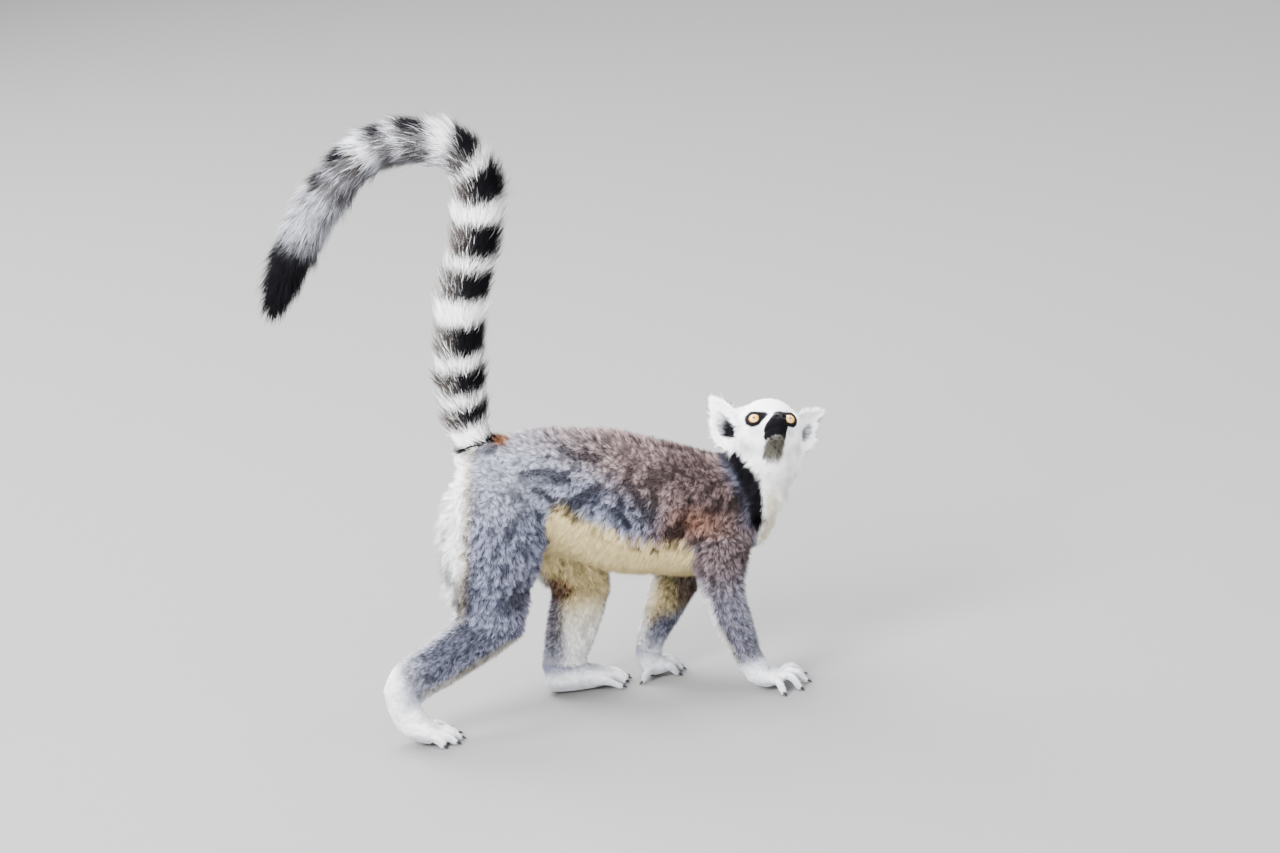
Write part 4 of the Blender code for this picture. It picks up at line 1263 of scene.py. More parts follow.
    def _head_lie(self, rows: Array) -> Array:
        """Lay the head's hair back from the nose, and down on the cheeks and the throat.

        Args:
            rows: Forward, left, up in millimetres.

        Returns:
            World directions.
        """
        away = unit((rows - NOSE_SPOT) * (1.0, 1.25, 1.0))
        away[:, 2] -= 0.9 * step(-8.0, -30.0, rows[:, 2])
        for way in (-1.0, 1.0):
            off = rows - on_side(EYE_SPOT, way)
            near = step(14.5, 10.0, np.linalg.norm(off, axis=1))
            away = blend(unit(away), unit(off), near)
        return HEAD.turned(away)

    def _ear_lie(self, rows: Array, way: float) -> Array:
        """Lay an ear's hair from its root to its rim and tip."""
        return HEAD.turned(unit(rows - on_side(EAR_ROOT, way)))

    def _draw_in(self) -> None:
        """Move the skin inwards by the depth of the coat."""
        for _ in range(self.draw_paces):
            normals = self._vertex_normals()
            normals = unit(self.relax(normals, 0.5, 4))
            depth = self.style[:, DEPTH]
            self.points = self.points - normals * (depth[:, None] * MM / self.draw_paces)
            soft = np.clip(depth / 8.0, 0.05, 0.6)
            self.points = self.relax(self.points, soft, 2)

    def _carve_face(self) -> None:
        """Cut the line of the mouth between muzzle and jaw."""
        ahead, _, up = HEAD.inside(self.points).T
        line = -21.5 - 0.03 * (ahead - 20.0)
        reach = step(4.0, 8.0, ahead) * step(38.0, 32.0, ahead) * on_parts(self.node, "head")
        cut = np.clip(1.0 - np.abs(up - line) / 1.6, 0.0, 1.0) ** 1.3 * reach
        normals = self._vertex_normals()
        self.points = self.points - normals * (cut[:, None] * self.mouth_depth * MM)

    def finish(self) -> None:
        """Colour the skin, thin what the coat hides and put it in place of the solids of flesh."""
        rng = np.random.default_rng(11)
        jitter = self.relax(rng.normal(0.0, 1.0, (len(self.points), 3)), 0.5, 2)
        places = Places(self.points, self.normals, self.node)
        tip, root = self.markings.paint(places, jitter * 0.6)
        # Under a thick coat the skin takes mostly the hair's dark root colour, partly painted
        # shade so the gaps between tufts read dark; under a thin coat it takes the tip colour
        # darkened by tip_shade.
        thin_coat = step(4.0, 1.2, self.style[:, DEPTH])
        share = self.root_shade + (0.90 - self.root_shade) * thin_coat
        paint_points(self.item.data, blend(root, tip * self.tip_shade, share))
        group = self.item.vertex_groups.new(name="thin")
        fine = on_parts(self.node, "head", "hand", "foot", "ear")
        group.add(np.nonzero(fine)[0].tolist(), 0.5, "REPLACE")
        thin = self.item.modifiers.new("Thin", "DECIMATE")
        thin.ratio = self.shown_share
        thin.vertex_group = group.name
        thin.vertex_group_factor = 0.02
        thin.invert_vertex_group = True
        apply_modifiers(self.item)
        self.item.vertex_groups.clear()
        self.item.data.shade_smooth()
        self.item.data.materials.append(SKIN_NAP.material())
        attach(self.item, "root")
        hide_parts(*FLESH)
        LOG.info("skin: %d triangles", len(self.item.data.polygons))


@dataclass
class Shading:
    """A material with one surface shader and the nodes that feed it."""

    name: str
    material: bpy.types.Material = field(init=False)
    surface: bpy.types.Node = field(init=False)

    def __post_init__(self) -> None:
        """Start the material."""
        self.material = bpy.data.materials.new(self.name)
        self.material.use_nodes = True
        self.surface = self.material.node_tree.nodes["Principled BSDF"]

    def fill(self, node: bpy.types.Node, inputs: dict) -> bpy.types.Node:
        """Give a node's inputs a number, a colour or another node's output each.

        Args:
            node: The node.
            inputs: What goes into each input, by its name or number.

        Returns:
            The node.
        """
        for socket, value in inputs.items():
            if isinstance(value, bpy.types.NodeSocket):
                self.material.node_tree.links.new(value, node.inputs[socket])
            else:
                node.inputs[socket].default_value = value
        return node

    def add(self, kind: str, inputs: dict, **options: str) -> bpy.types.Node:
        """Add a node of a kind, with its inputs and options filled in.

        Args:
            kind: Type of the node.
            inputs: What goes into each input.
            options: Settings of the node.

        Returns:
            The node.
        """
        node = self.material.node_tree.nodes.new("ShaderNode" + kind)
        for option, value in options.items():
            setattr(node, option, value)
        return self.fill(node, inputs)

    def texture(self, kind: str, inputs: dict) -> bpy.types.Node:
        """Add a solid texture that stays with the object."""
        place = self.add("TexCoord", {}).outputs["Object"]
        return self.add(kind, {"Vector": place, **inputs})

    def ramp(self, factor: bpy.types.NodeSocket, stops: tuple) -> bpy.types.NodeSocket:
        """Turn a factor into a colour by stops of place and colour.

        Args:
            factor: Output that drives the ramp.
            stops: Pairs of a place and a colour.

        Returns:
            The colour.
        """
        node = self.add("ValToRGB", {"Fac": factor})
        elements = node.color_ramp.elements
        elements.remove(elements[1])
        elements[0].position = stops[0][0]
        elements[0].color = (*stops[0][1], 1.0)
        for place, colour in stops[1:]:
            elements.new(place).color = (*colour, 1.0)
        return node.outputs["Color"]

    def painted(self, noise: bpy.types.Node, low: float, high: float) -> bpy.types.NodeSocket:
        """Return the mesh's own colours, made darker and lighter by a noise.

        Args:
            noise: The noise texture.
            low: Factor where the noise is lowest.
            high: Factor where the noise is highest.

        Returns:
            The colour.
        """
        colour = self.add("Attribute", {}, attribute_name=COLOUR_NAME).outputs["Color"]
        shade = self.add("MapRange", {"To Min": low, "To Max": high,
                                      "Value": noise.outputs["Fac"]}).outputs["Result"]
        mixed = self.add("VectorMath", {0: colour, "Scale": shade}, operation="SCALE")
        return mixed.outputs["Vector"]

    def bump(self, height: bpy.types.NodeSocket, strength: float, distance: float) -> None:
        """Raise the surface by a height."""
        node = self.add("Bump", {"Strength": strength, "Distance": distance, "Height": height})
        self.fill(self.surface, {"Normal": node.outputs["Normal"]})


@dataclass(frozen=True)
class HairFinish:
    """Soft, hardly glossy hair in the coat's own colours, with a bump where it is only nap."""

    name: str
    roughness: float
    scale: float
    detail: float
    tones: tuple[float, float]
    relief: float = 0.0
    specular: float = 0.03

    def material(self) -> bpy.types.Material:
        """Return the material, made once.

        Returns:
            The material.
        """
        known = bpy.data.materials.get(self.name)
        if known is not None:
            return known
        shading = Shading(self.name)
        noise = shading.texture("TexNoise", {"Scale": self.scale, "Detail": self.detail})
        shading.fill(shading.surface, {"Base Color": shading.painted(noise, *self.tones),
                                       "Roughness": self.roughness,
                                       "Specular IOR Level": self.specular})
        if self.relief:
            shading.bump(noise.outputs["Fac"], self.relief, 0.0004)
        return shading.material


COAT_HAIR = HairFinish("coat_hair", 0.66, 700.0, 2.0, (0.78, 1.16))
SKIN_NAP = HairFinish("skin_nap", 0.72, 1400.0, 4.0, (0.65, 1.20), relief=0.35)


@dataclass(frozen=True)
class LeatherFinish:
    """Bare black skin or horn, finely pebbled and slightly moist."""

    name: str
    roughness: float
    specular: float
    colour: tuple = (0.006, 0.0055, 0.007)
    grain: float = 2600.0
    relief: float = 0.35

    def material(self) -> bpy.types.Material:
        """Return the material.

        Returns:
            The material.
        """
        shading = Shading(self.name)
        cells = shading.texture("TexVoronoi", {"Scale": self.grain})
        noise = shading.texture("TexNoise", {"Scale": 500.0})
        stops = ((0.0, [0.6 * value for value in self.colour]),
                 (1.0, [1.9 * value for value in self.colour]))
        shading.fill(shading.surface, {"Base Color": shading.ramp(noise.outputs["Fac"], stops),
                                       "Roughness": self.roughness,
                                       "Specular IOR Level": self.specular})
        shading.bump(cells.outputs["Distance"], self.relief, 0.0002)
        return shading.material


@dataclass(frozen=True)
class IrisFinish:
    """A wet eye: black pupil, amber iris with fine rays, dark rim, all under a clear coat."""

    name: str = "eye_amber"
    ray_scale: float = 9.0
    stops: tuple = ((0.000, (0.004, 0.003, 0.003)), (0.088, (0.004, 0.003, 0.003)),
                    (0.104, (0.200, 0.085, 0.012)), (0.150, (0.480, 0.250, 0.045)),
                    (0.240, (0.640, 0.420, 0.110)), (0.340, (0.520, 0.280, 0.045)),
                    (0.430, (0.230, 0.085, 0.012)), (0.495, (0.015, 0.008, 0.005)))

    def material(self) -> bpy.types.Material:
        """Return the material, made once.

        Returns:
            The material.
        """
        known = bpy.data.materials.get(self.name)
        if known is not None:
            return known
        shading = Shading(self.name)
        iris = shading.add("UVMap", {}, uv_map=IRIS_MAP).outputs["UV"]
        centred = shading.add("VectorMath", {0: iris, 1: (0.5, 0.5, 0.0)}, operation="SUBTRACT")
        spot = centred.outputs["Vector"]
        far = shading.add("VectorMath", {0: spot}, operation="LENGTH").outputs["Value"]
        way = shading.add("VectorMath", {0: spot}, operation="NORMALIZE").outputs["Vector"]
        rays = shading.add("TexNoise", {"Vector": way, "Scale": self.ray_scale, "Detail": 3.0})
        frayed = shading.add("Math", {0: rays.outputs["Fac"], 1: 0.05, 2: far},
                             operation="MULTIPLY_ADD")
        colour = shading.ramp(frayed.outputs["Value"], self.stops)
        shading.fill(shading.surface, {"Base Color": colour, "Roughness": 0.35,
                                       "Coat Weight": 1.0, "Coat Roughness": 0.03})
        return shading.material


@dataclass
class CoatPiece:
    """One piece of the coat: tufts rooted on some of the skin's parts."""

    name: str
    parts: tuple[str, ...]
    finish: Finish
    form: TuftForm
    seed: int
    side: float = 0.0
    share: float = 1.0
    folds: float = 0.0
    grain: float = 0.20
    relief: float = 0.25
    ridge: float = 0.34
    sink: float = 0.0007
    shown: float = 0.70

    def grow(self, ground: Ground, markings: Markings) -> int:
        """Make the tufts of this piece.

        Args:
            ground: The skin or lids that they are rooted on.
            markings: The pattern that colours them.

        Returns:
            The number of triangles made.
        """
        rng = np.random.default_rng(self.seed)
        roots = self._roots(ground, rng)
        tips = self._lay(roots, rng)
        colours = self._colours(roots, tips, markings, rng)
        return self._mesh(roots, tips, colours)

    def _roots(self, ground: Ground, rng: np.random.Generator) -> Tufts:
        """Scatter roots evenly over this piece's part of the ground.

        Args:
            ground: The skin or lids.
            rng: Source of random numbers.

        Returns:
            Places, normals, lie, node and style of the roots, by name.
        """
        here = on_parts(ground.node[ground.triangles[:, 0]], *self.parts)
        triangles = ground.triangles[here]
        corners = ground.points[triangles]
        if self.side:
            keep = corners[:, :, 1].mean(axis=1) * self.side >= 0.0
            triangles, corners = triangles[keep], corners[keep]
        area = np.linalg.norm(np.cross(corners[:, 1] - corners[:, 0],
                                       corners[:, 2] - corners[:, 0]), axis=1) / 2
        spacing = ground.style[triangles, SPACING].mean(axis=1) * MM
        expected = area / spacing ** 2 * self.share / QUICK_THINNING
        expected *= ground.growth[triangles].min(axis=1)
        edges = np.concatenate([[0.0], np.cumsum(expected)])
        count = int(edges[-1])
        chosen = np.searchsorted(edges, np.arange(count) + rng.random(count), side="right") - 1
        chosen = np.clip(chosen, 0, len(triangles) - 1)
        u, v = rng.random((2, count))
        fold = u + v > 1.0
        u[fold], v[fold] = 1.0 - u[fold], 1.0 - v[fold]
        shares = np.stack([1.0 - u - v, u, v], axis=1)[:, :, None]
        picked = triangles[chosen]
        style = (ground.style[picked] * shares).sum(axis=1)
        roots = {column: style[:, index] for index, column in enumerate(STYLE_COLUMNS)}
        roots["at"] = (ground.points[picked] * shares).sum(axis=1)
        roots["normal"] = unit((ground.normals[picked] * shares).sum(axis=1))
        roots["lie"] = unit(along_surface((ground.lie[picked] * shares).sum(axis=1),
                                          roots["normal"]))
        roots["node"] = ground.node[picked[:, 0]]
        return roots

    def _lay(self, roots: Tufts, rng: np.random.Generator) -> Tufts:
        """Turn, lift and gather the tufts, and return where each ends and bends.

        Args:
            roots: The roots.
            rng: Source of random numbers.

        Returns:
            Tip, bend, shade of the lock, depth in a fold and nearness to a lock's middle.
        """
        count = len(roots["at"])
        normal, lie = roots["normal"], roots["lie"]
        across = np.cross(normal, lie)
        lock = self._locks(roots, rng)
        stray = np.radians(roots["stray"])
        turn = rng.normal(0.0, 1.0, count) * stray + lock["turn"] * stray * 1.2
        lift = np.radians(roots["lift"]) * (1.0 + rng.normal(0.0, 0.16, count)
                                            + 0.15 * lock["lift"])
        lift = np.clip(lift, 0.10, 1.20)
        spread = 1.0 + rng.normal(0.0, 0.12, count) + 0.08 * lock["lift"]
        length = roots["length"] * MM * np.maximum(spread, 0.4)
        flat_length = (length * np.cos(lift))[:, None]
        fold = np.maximum(self._folds(roots["at"] + lie * 0.45 * flat_length, roots),
                          self._folds(roots["at"] + lie * 0.95 * flat_length, roots))
        length = length * (1.0 - 0.34 * fold)
        lift = lift * (1.0 - 0.30 * fold)
        flat = lie * np.cos(turn)[:, None] + across * np.sin(turn)[:, None]
        way = flat * np.cos(lift)[:, None] + normal * np.sin(lift)[:, None]
        tip = roots["at"] + way * length[:, None]
        centre = lock["centre"]
        lock_tip = tip[centre]
        gap = np.linalg.norm(roots["at"][centre] - roots["at"], axis=1) / MM
        share = gap / np.maximum(roots["lock"], LOCK_LEAST)
        pull = roots["pull"] * np.clip(1.6 - share, 0.0, 1.0)
        pull = pull * (0.75 + 0.25 * rng.random(count))
        near = np.clip(1.35 - 1.3 * share, 0.0, 1.0)
        tip = tip + (lock_tip - tip) * pull[:, None]
        below = dots(tip - roots["at"], normal)
        tip += normal * np.maximum(0.12 * length - below, 0.0)[:, None]
        height = dots(tip - roots["at"], normal)
        bend = roots["at"] + (tip - roots["at"]) * 0.52 + normal * (0.22 * height)[:, None]
        for share in (0.35, 0.68, 1.0):
            spot = roots["at"] + (tip - roots["at"]) * share
            fold = np.maximum(fold, self._folds(spot, roots) * (0.7 + 0.3 * share))
        return {"tip": tip, "bend": bend, "lock": lock["shade"], "fold": fold, "near": near}

    def _folds(self, at: Array, roots: Tufts) -> Array:
        """Return how deep the coat lies in a fold; folds wander along the lie of the hair.

        Args:
            at: Where each tuft shows.
            roots: The roots, with the lie of their hair.

        Returns:
            A number from 0 to 1 for each tuft.
        """
        if not self.folds:
            return np.zeros(len(at))
        ripple = Drift(self.seed, 12.0)
        wander = Drift(self.seed + 1, 30.0)
        total = np.zeros(len(at))
        for back in (-7.0, -3.5, 0.0, 3.5, 7.0):
            total += np.abs(2.0 * ripple.at(at + roots["lie"] * (back * MM)) - 1.0) / 5.0
        fold = step(0.26, 0.12, total) * step(0.30, 0.55, wander.at(at))
        fold *= 1.0 - 0.75 * step(0.35, 0.80, roots["normal"][:, 2])
        if self.parts[0].startswith(("trunk", "thigh")):
            flank = step(0.35, 0.70, np.abs(roots["normal"][:, 1]))
            gap = np.min([line_gap(at[:, [0, 2]] / MM, line) for line in HIP_FOLDS], axis=0)
            fold = np.maximum(fold, step(2.9, 1.1, gap) * flank * 1.3)
        return np.clip(self.folds * fold, 0.0, 1.0) * step(0.50, 0.40, self._smoothness(roots))

    def _smoothness(self, roots: Tufts) -> Array:
        """Return how smooth the coat is: about 1 where locks hardly form, 0 where they do."""
        return step(0.34, 0.14, roots["pull"])

    def _locks(self, roots: Tufts, rng: np.random.Generator) -> Tufts:
        """Gather the roots round the middles of locks, with the locks' own turns and shades.

        Args:
            roots: The roots.
            rng: Source of random numbers.

        Returns:
            Middle root of each tuft's lock, and the lock's turn, lift and shade.
        """
        count = len(roots["at"])
        share = (roots["spacing"] / np.maximum(roots["lock"], LOCK_LEAST)) ** 2 * QUICK_THINNING
        middles = np.nonzero(rng.random(count) < share * 1.1)[0]
        middles = middles if len(middles) else np.array([0])
        tree = KDTree(len(middles))
        for index in middles:
            tree.insert(roots["at"][index], int(index))
        tree.balance()
        centre = np.array([tree.find(point)[1] for point in roots["at"]])
        turn, lift, shade = rng.normal(0.0, 1.0, (3, count))[:, centre]
        return {"centre": centre, "turn": turn, "lift": lift, "shade": shade}

    def _colours(self, roots: Tufts, tips: Tufts, markings: Markings,
                 rng: np.random.Generator) -> tuple[Array, Array]:
        """Colour each tuft's tip and root where it shows, with painted shade in folds and between
        locks.

        Args:
            roots: The roots.
            tips: Where each tuft ends and bends.
            markings: The pattern of the coat.
            rng: Source of random numbers.

        Returns:
            Colours of the tips and of the roots.
        """
        shown = roots["at"] + (tips["tip"] - roots["at"]) * self.shown
        places = Places(shown, roots["normal"], roots["node"])
        jitter = rng.normal(0.0, 0.5, (len(shown), 3))
        tip, root = markings.paint(places, jitter)
        pale = np.maximum(step(0.28, 0.46, tip.mean(axis=1)) * 0.75, self._smoothness(roots))
        grain = self.grain * (1.0 - 0.80 * pale)
        tone = 1.0 + grain * (0.8 * rng.normal(0.0, 1.0, len(shown)) + tips["lock"])
        # Painted shade: tufts that lie in a fold are darkened.
        tone *= 1.0 - 0.90 * tips["fold"]
        # Painted shade: tufts far from the middle of their lock are darkened, as in the gaps
        # between locks.
        tone *= 1.08 - self.relief * (1.0 - tips["near"]) * (1.0 - 0.8 * pale)
        tone = np.clip(tone, 0.08, 1.9)[:, None]
        return tip * tone, root * tone

    def _corners(self, roots: Tufts, tips: Tufts,
                 colours: tuple[Array, Array]) -> tuple[Array, Array, Array, Array]:
        """Place the corners of every tuft: three at its root, three at its bend, and its tip.

        Args:
            roots: The roots.
            tips: Where each tuft ends and bends.
            colours: Colours of the tips and of the roots.

        Returns:
            Places, colours and normals of the corners, tuft by tuft, and their places in a patch.
        """
        normal = roots["normal"]
        side = unit(np.cross(normal, unit(tips["tip"] - roots["at"])))
        half = side * (roots["width"] * MM * 0.5 * math.sqrt(QUICK_THINNING))[:, None]
        rise = normal * (roots["width"] * MM * self.ridge)[:, None]
        base = roots["at"] - normal * self.sink
        tip_colour, root_colour = colours
        rings = [base + half, base - half, base + rise]
        tints = [root_colour] * 3
        patch = [(0.0, 0.0), (1.0, 0.0), (0.5, 0.0)]
        lean = [normal + side * 0.6, normal - side * 0.6, normal]
        if self.form is TuftForm.ARCHED:
            middle, slim = tips["bend"], 0.85
            rings += [middle + half * slim, middle - half * slim, middle + rise * slim]
            tints += [root_colour * 0.35 + tip_colour * 0.65] * 3
            patch += [(0.0, 0.5), (1.0, 0.5), (0.5, 0.5)]
            lean += lean
        rings = np.stack([*rings, tips["tip"]], axis=1)
        rings[:, :, 2] = np.maximum(rings[:, :, 2], 0.0)
        return (rings, np.stack([*tints, tip_colour], axis=1), np.stack([*lean, normal], axis=1),
                np.array([*patch, (0.5, 1.0)]))

    def _mesh(self, roots: Tufts, tips: Tufts, colours: tuple[Array, Array]) -> int:
        """Join every tuft into one mesh and dress it.

        Args:
            roots: The roots.
            tips: Where each tuft ends and bends.
            colours: Colours of the tips and of the roots.

        Returns:
            The number of triangles made.
        """
        rings, tints, lean, patch = self._corners(roots, tips, colours)
        faces = TUFT_FACES[self.form]
        sizes = [len(face) for face in faces]
        count, corners = rings.shape[:2]
        loops = (np.arange(count)[:, None] * corners + np.concatenate(faces)).ravel()
        totals = np.tile(sizes, count)
        starts = np.concatenate([[0], np.cumsum(totals)[:-1]]).astype(np.int32)
        mesh = bpy.data.meshes.new(self.name)
        mesh.vertices.add(count * corners)
        mesh.vertices.foreach_set("co", rings.astype(np.float32).ravel())
        mesh.loops.add(len(loops))
        mesh.loops.foreach_set("vertex_index", loops.astype(np.int32))
        mesh.polygons.add(len(totals))
        mesh.polygons.foreach_set("loop_start", starts)
        mesh.polygons.foreach_set("use_smooth", np.ones(len(totals), dtype=bool))
        mesh.update(calc_edges=True)
        paint_points(mesh, tints.reshape(-1, 3))
        layer = mesh.uv_layers.new(name=BAKE_MAP)
        uv = self._unwrap(roots)[:, None, :] + patch * TUFT_PATCH
        layer.data.foreach_set("uv", uv.reshape(-1, 2)[loops].astype(np.float32).ravel())
        mesh.normals_split_custom_set_from_vertices(unit(lean.reshape(-1, 3)))
        item = link_mesh(self.name, mesh)
        mesh.materials.append(COAT_HAIR.material())
        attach(item, "root")
        return count * sum(size - 2 for size in sizes)

    def _unwrap(self, roots: Tufts) -> Array:
        """Unroll each part of the skin round its own long axis, in a cell of its own.

        Args:
            roots: The roots.

        Returns:
            Two numbers from 0 to 1 for each root.
        """
        spots = np.zeros((len(roots["at"]), 2))
        nodes = sorted(set(roots["node"].tolist()))
        for cell, number in enumerate(nodes):
            here = roots["node"] == number
            at = roots["at"][here]
            if FLESH[number].startswith("tail"):
                index = TAIL.nearest(at)
                way, middle, along = TAIL.ways[index], TAIL.points[index], TAIL.along[index]
            else:
                middle = at.mean(axis=0)
                spread = at - middle
                way = np.linalg.eigh(spread.T @ spread)[1][:, -1]
                along = spread @ way
                middle = middle + np.outer(along, way)
                way = np.tile(way, (len(at), 1))
            first = unit(np.cross(way, np.array([0.02, 1.0, 0.03])))
            second = np.cross(way, first)
            radial = at - middle
            angle = np.arctan2(dots(radial, second), dots(radial, first))
            low, high = along.min(), max(along.max(), along.min() + 1e-6)
            spots[here, 0] = (cell + 0.01 + 0.97 * (angle / (2 * math.pi) + 0.5)) / len(nodes)
            spots[here, 1] = 0.003 + 0.988 * (along - low) / (high - low)
        return spots * (1.0 - TUFT_PATCH)


@dataclass
class Coat:
    """The whole coat, in pieces small enough to handle."""

    markings: Markings

    def pieces(self) -> list[CoatPiece]:
        """Return the pieces, from nose to tail.

        Returns:
            The pieces.
        """
        straight, arched = TuftForm.STRAIGHT, TuftForm.ARCHED
        thick = {"grain": 0.40, "relief": 0.58}
        limb = {"grain": 0.44, "relief": 0.60}
        rows = (
            ("head", ("head",), Finish.PALE, straight, {}),
            ("ears", ("ear",), Finish.PALE, straight, {"relief": 0.5}),
            ("neck", ("neck",), Finish.PALE, straight, {"folds": 0.35}),
            ("trunk_right", ("trunk",), Finish.BROWN, straight,
             {"side": -1.0, "folds": 1.0, **thick}),
            ("trunk_left", ("trunk",), Finish.BROWN, straight,
             {"side": 1.0, "folds": 1.0, **thick}),
            ("thigh_right", ("thigh_right",), Finish.GREY, straight, {"folds": 0.8, **thick}),
            ("thigh_left", ("thigh_left",), Finish.GREY, straight, {"folds": 0.4, **thick}),
            ("shanks", ("shank",), Finish.GREY, straight, {"folds": 0.5, **limb}),
            ("arms", ("upper_arm", "forearm"), Finish.GREY, straight, {"folds": 0.55, **limb}),
            ("paws", ("hand", "foot"), Finish.PALE, straight, {"grain": 0.45, "relief": 0.60}),
            ("tail_low", ("tail_root", "tail_lower", "tail_upper"), Finish.DARK, straight,
             {"grain": 0.16, "relief": 0.35}),
            ("tail_high", ("tail_arch", "tail_tip"), Finish.PALE, straight,
             {"grain": 0.40, "relief": 0.60}),
            ("tail_locks", ("tail",), Finish.PALE, arched,
             {"share": 0.28, "grain": 0.22, "relief": 0.40}),
        )
        return [CoatPiece("coat_" + name, parts, finish, form, seed, **options)
                for seed, (name, parts, finish, form, options) in enumerate(rows, FIRST_SEED)]

    def build(self, skin: Skin) -> None:
        """Grow every piece.

        Args:
            skin: The finished form of the skin.
        """
        total = 0
        for piece in self.pieces():
            made = piece.grow(skin, self.markings)
            total += made
            LOG.info("%s: %d triangles", piece.name, made)
        LOG.info("coat: %d triangles in all", total)


@dataclass
class Eye:
    """One eye with its lids."""

    name: str
    way: float
    radius: float = 0.00765
    iris_radius: float = 0.0064
    outward: float = math.radians(7.0)
    downward: float = math.radians(7.0)
    lid_outer: float = 5.7
    lid_inner: float = 6.9
    lid_up: float = 3.7
    lid_down: float = 4.4
    slant: float = 0.30
    turns: int = 64
    ground: Ground = field(init=False, default=None)

    def gaze(self) -> tuple[Array, Array, Array]:
        """Return the way the eye looks, its outward side and its up.

        Returns:
            Three directions of length one.
        """
        look = (HEAD.forward * math.cos(self.outward)
                + HEAD.left * self.way * math.sin(self.outward)) * math.cos(self.downward) \
            - HEAD.up * math.sin(self.downward)
        look = unit(look)
        side = unit(HEAD.left * self.way - look * (HEAD.left * self.way).dot(look))
        return look, side, np.cross(side, look) * -self.way

    def centre(self) -> Array:
        """Return the middle of the eyeball."""
        low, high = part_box("eye_" + self.name)
        return np.array((low + high) / 2)

    def build(self) -> None:
        """Make the eyeball and its lids."""
        self._ball()
        self._lids()

    def _ball(self) -> None:
        """Make the eyeball from a fine sphere that looks along the gaze."""
        ball = new_sphere("eyeball_" + self.name, 64, 48, self.radius)
        look, side, up = self.gaze()
        points = points_of(ball.data)
        rise = points[:, 2] / self.radius
        across = np.hypot(points[:, 0], points[:, 1])
        bulge = np.clip(1.0 - (across / (0.8 * self.radius)) ** 2, 0.0, 1.0) * (rise > 0)
        local = points + np.outer(bulge * 0.00035, (0.0, 0.0, 1.0))
        world = self.centre() + local[:, :1] * side + local[:, 1:2] * up + local[:, 2:] * look
        flat = np.where(rise[:, None] > 0, points[:, :2], self.radius)
        uv = (0.5 + 0.5 * flat / self.iris_radius)[corners_of(ball.data)]
        iris = ball.data.uv_layers.new(name=IRIS_MAP)
        iris.data.foreach_set("uv", uv.astype(np.float32).ravel())
        move_points(ball.data, world)
        outward_faces(ball.data)
        ball.data.shade_smooth()
        ball.data.materials.append(IrisFinish().material())
        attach(ball, "root")
        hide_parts("eye_" + self.name)

    def _opening(self, turn: Array) -> Array:
        """Return the angle of the lids' edge from the gaze, for turns from the outer side.

        Args:
            turn: Angle round the gaze, from the outer side.

        Returns:
            Angles in radians.
        """
        out, rise = np.cos(turn + self.slant), np.sin(turn + self.slant)
        wide = np.where(out > 0, self.lid_outer, self.lid_inner)
        tall = np.where(rise > 0, self.lid_up, self.lid_down)
        point = np.where(out < 0, 1.0 + 0.25 * np.abs(out) ** 3, 1.0)
        reach = 1.0 / np.hypot(out / wide, rise / tall * point)
        return np.arcsin(np.clip(reach * MM / (self.radius + 0.0004), 0.0, 0.95))

    def _lids(self) -> None:
        """Make the lids as one rounded rim that closes round the eyeball."""
        look, side, up = self.gaze()
        turn = np.linspace(0.0, 2.0 * math.pi, self.turns, endpoint=False)
        edge = self._opening(turn)
        rings = []
        for radius, past in LID_PROFILE:
            angle = edge + past
            out = np.cos(turn) * np.sin(angle)
            rise = np.sin(turn) * np.sin(angle)
            rings.append(self.centre() + (self.radius + radius * MM) * (
                out[:, None] * side + rise[:, None] * up + np.cos(angle)[:, None] * look))
        mesh = bpy.data.meshes.new("lids_" + self.name)
        count = len(rings)
        faces = []
        for row in range(count):
            following = (row + 1) % count
            for place in range(self.turns):
                other = (place + 1) % self.turns
                faces.append((row * self.turns + place, row * self.turns + other,
                              following * self.turns + other, following * self.turns + place))
        mesh.from_pydata(np.concatenate(rings).tolist(), [], faces)
        outward_faces(mesh)
        lids = link_mesh("lids_" + self.name, mesh)
        smooth = lids.modifiers.new("Round", "SUBSURF")
        smooth.levels = smooth.render_levels = 1
        apply_modifiers(lids)
        lids.data.shade_smooth()
        lids.data.materials.append(LeatherFinish("lid_skin", 0.6, 0.04).material())
        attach(lids, "root")
        self.ground = self._lid_ground(lids.data, look)

    def _lid_ground(self, mesh: bpy.types.Mesh, look: Array) -> Ground:
        """Return the outer face of the lids as ground for their short hair.

        Args:
            mesh: The mesh.
            look: The way the eye looks.

        Returns:
            The ground.
        """
        mesh.calc_loop_triangles()
        triangles = np.array([face.vertices[:] for face in mesh.loop_triangles])
        points = points_of(mesh)
        away = points - self.centre()
        far = np.linalg.norm(away, axis=1)
        normals = unit(away)
        lie = unit(along_surface(unit(away - look * (away @ look)[:, None]), normals))
        growth = (far > self.radius + 0.00064).astype(float)
        node = np.full(len(points), FLESH.index("head"))
        style = np.tile(LID_STYLE.row(), (len(points), 1)).astype(float)
        return Ground(points, triangles, normals, node, lie, style, growth)


def outward_faces(mesh: bpy.types.Mesh) -> None:
    """Turn every face of a closed mesh outwards.

    Args:
        mesh: The mesh.
    """
    shape = bmesh.new()
    shape.from_mesh(mesh)
    bmesh.ops.recalc_face_normals(shape, faces=shape.faces)
    shape.to_mesh(mesh)
    shape.free()


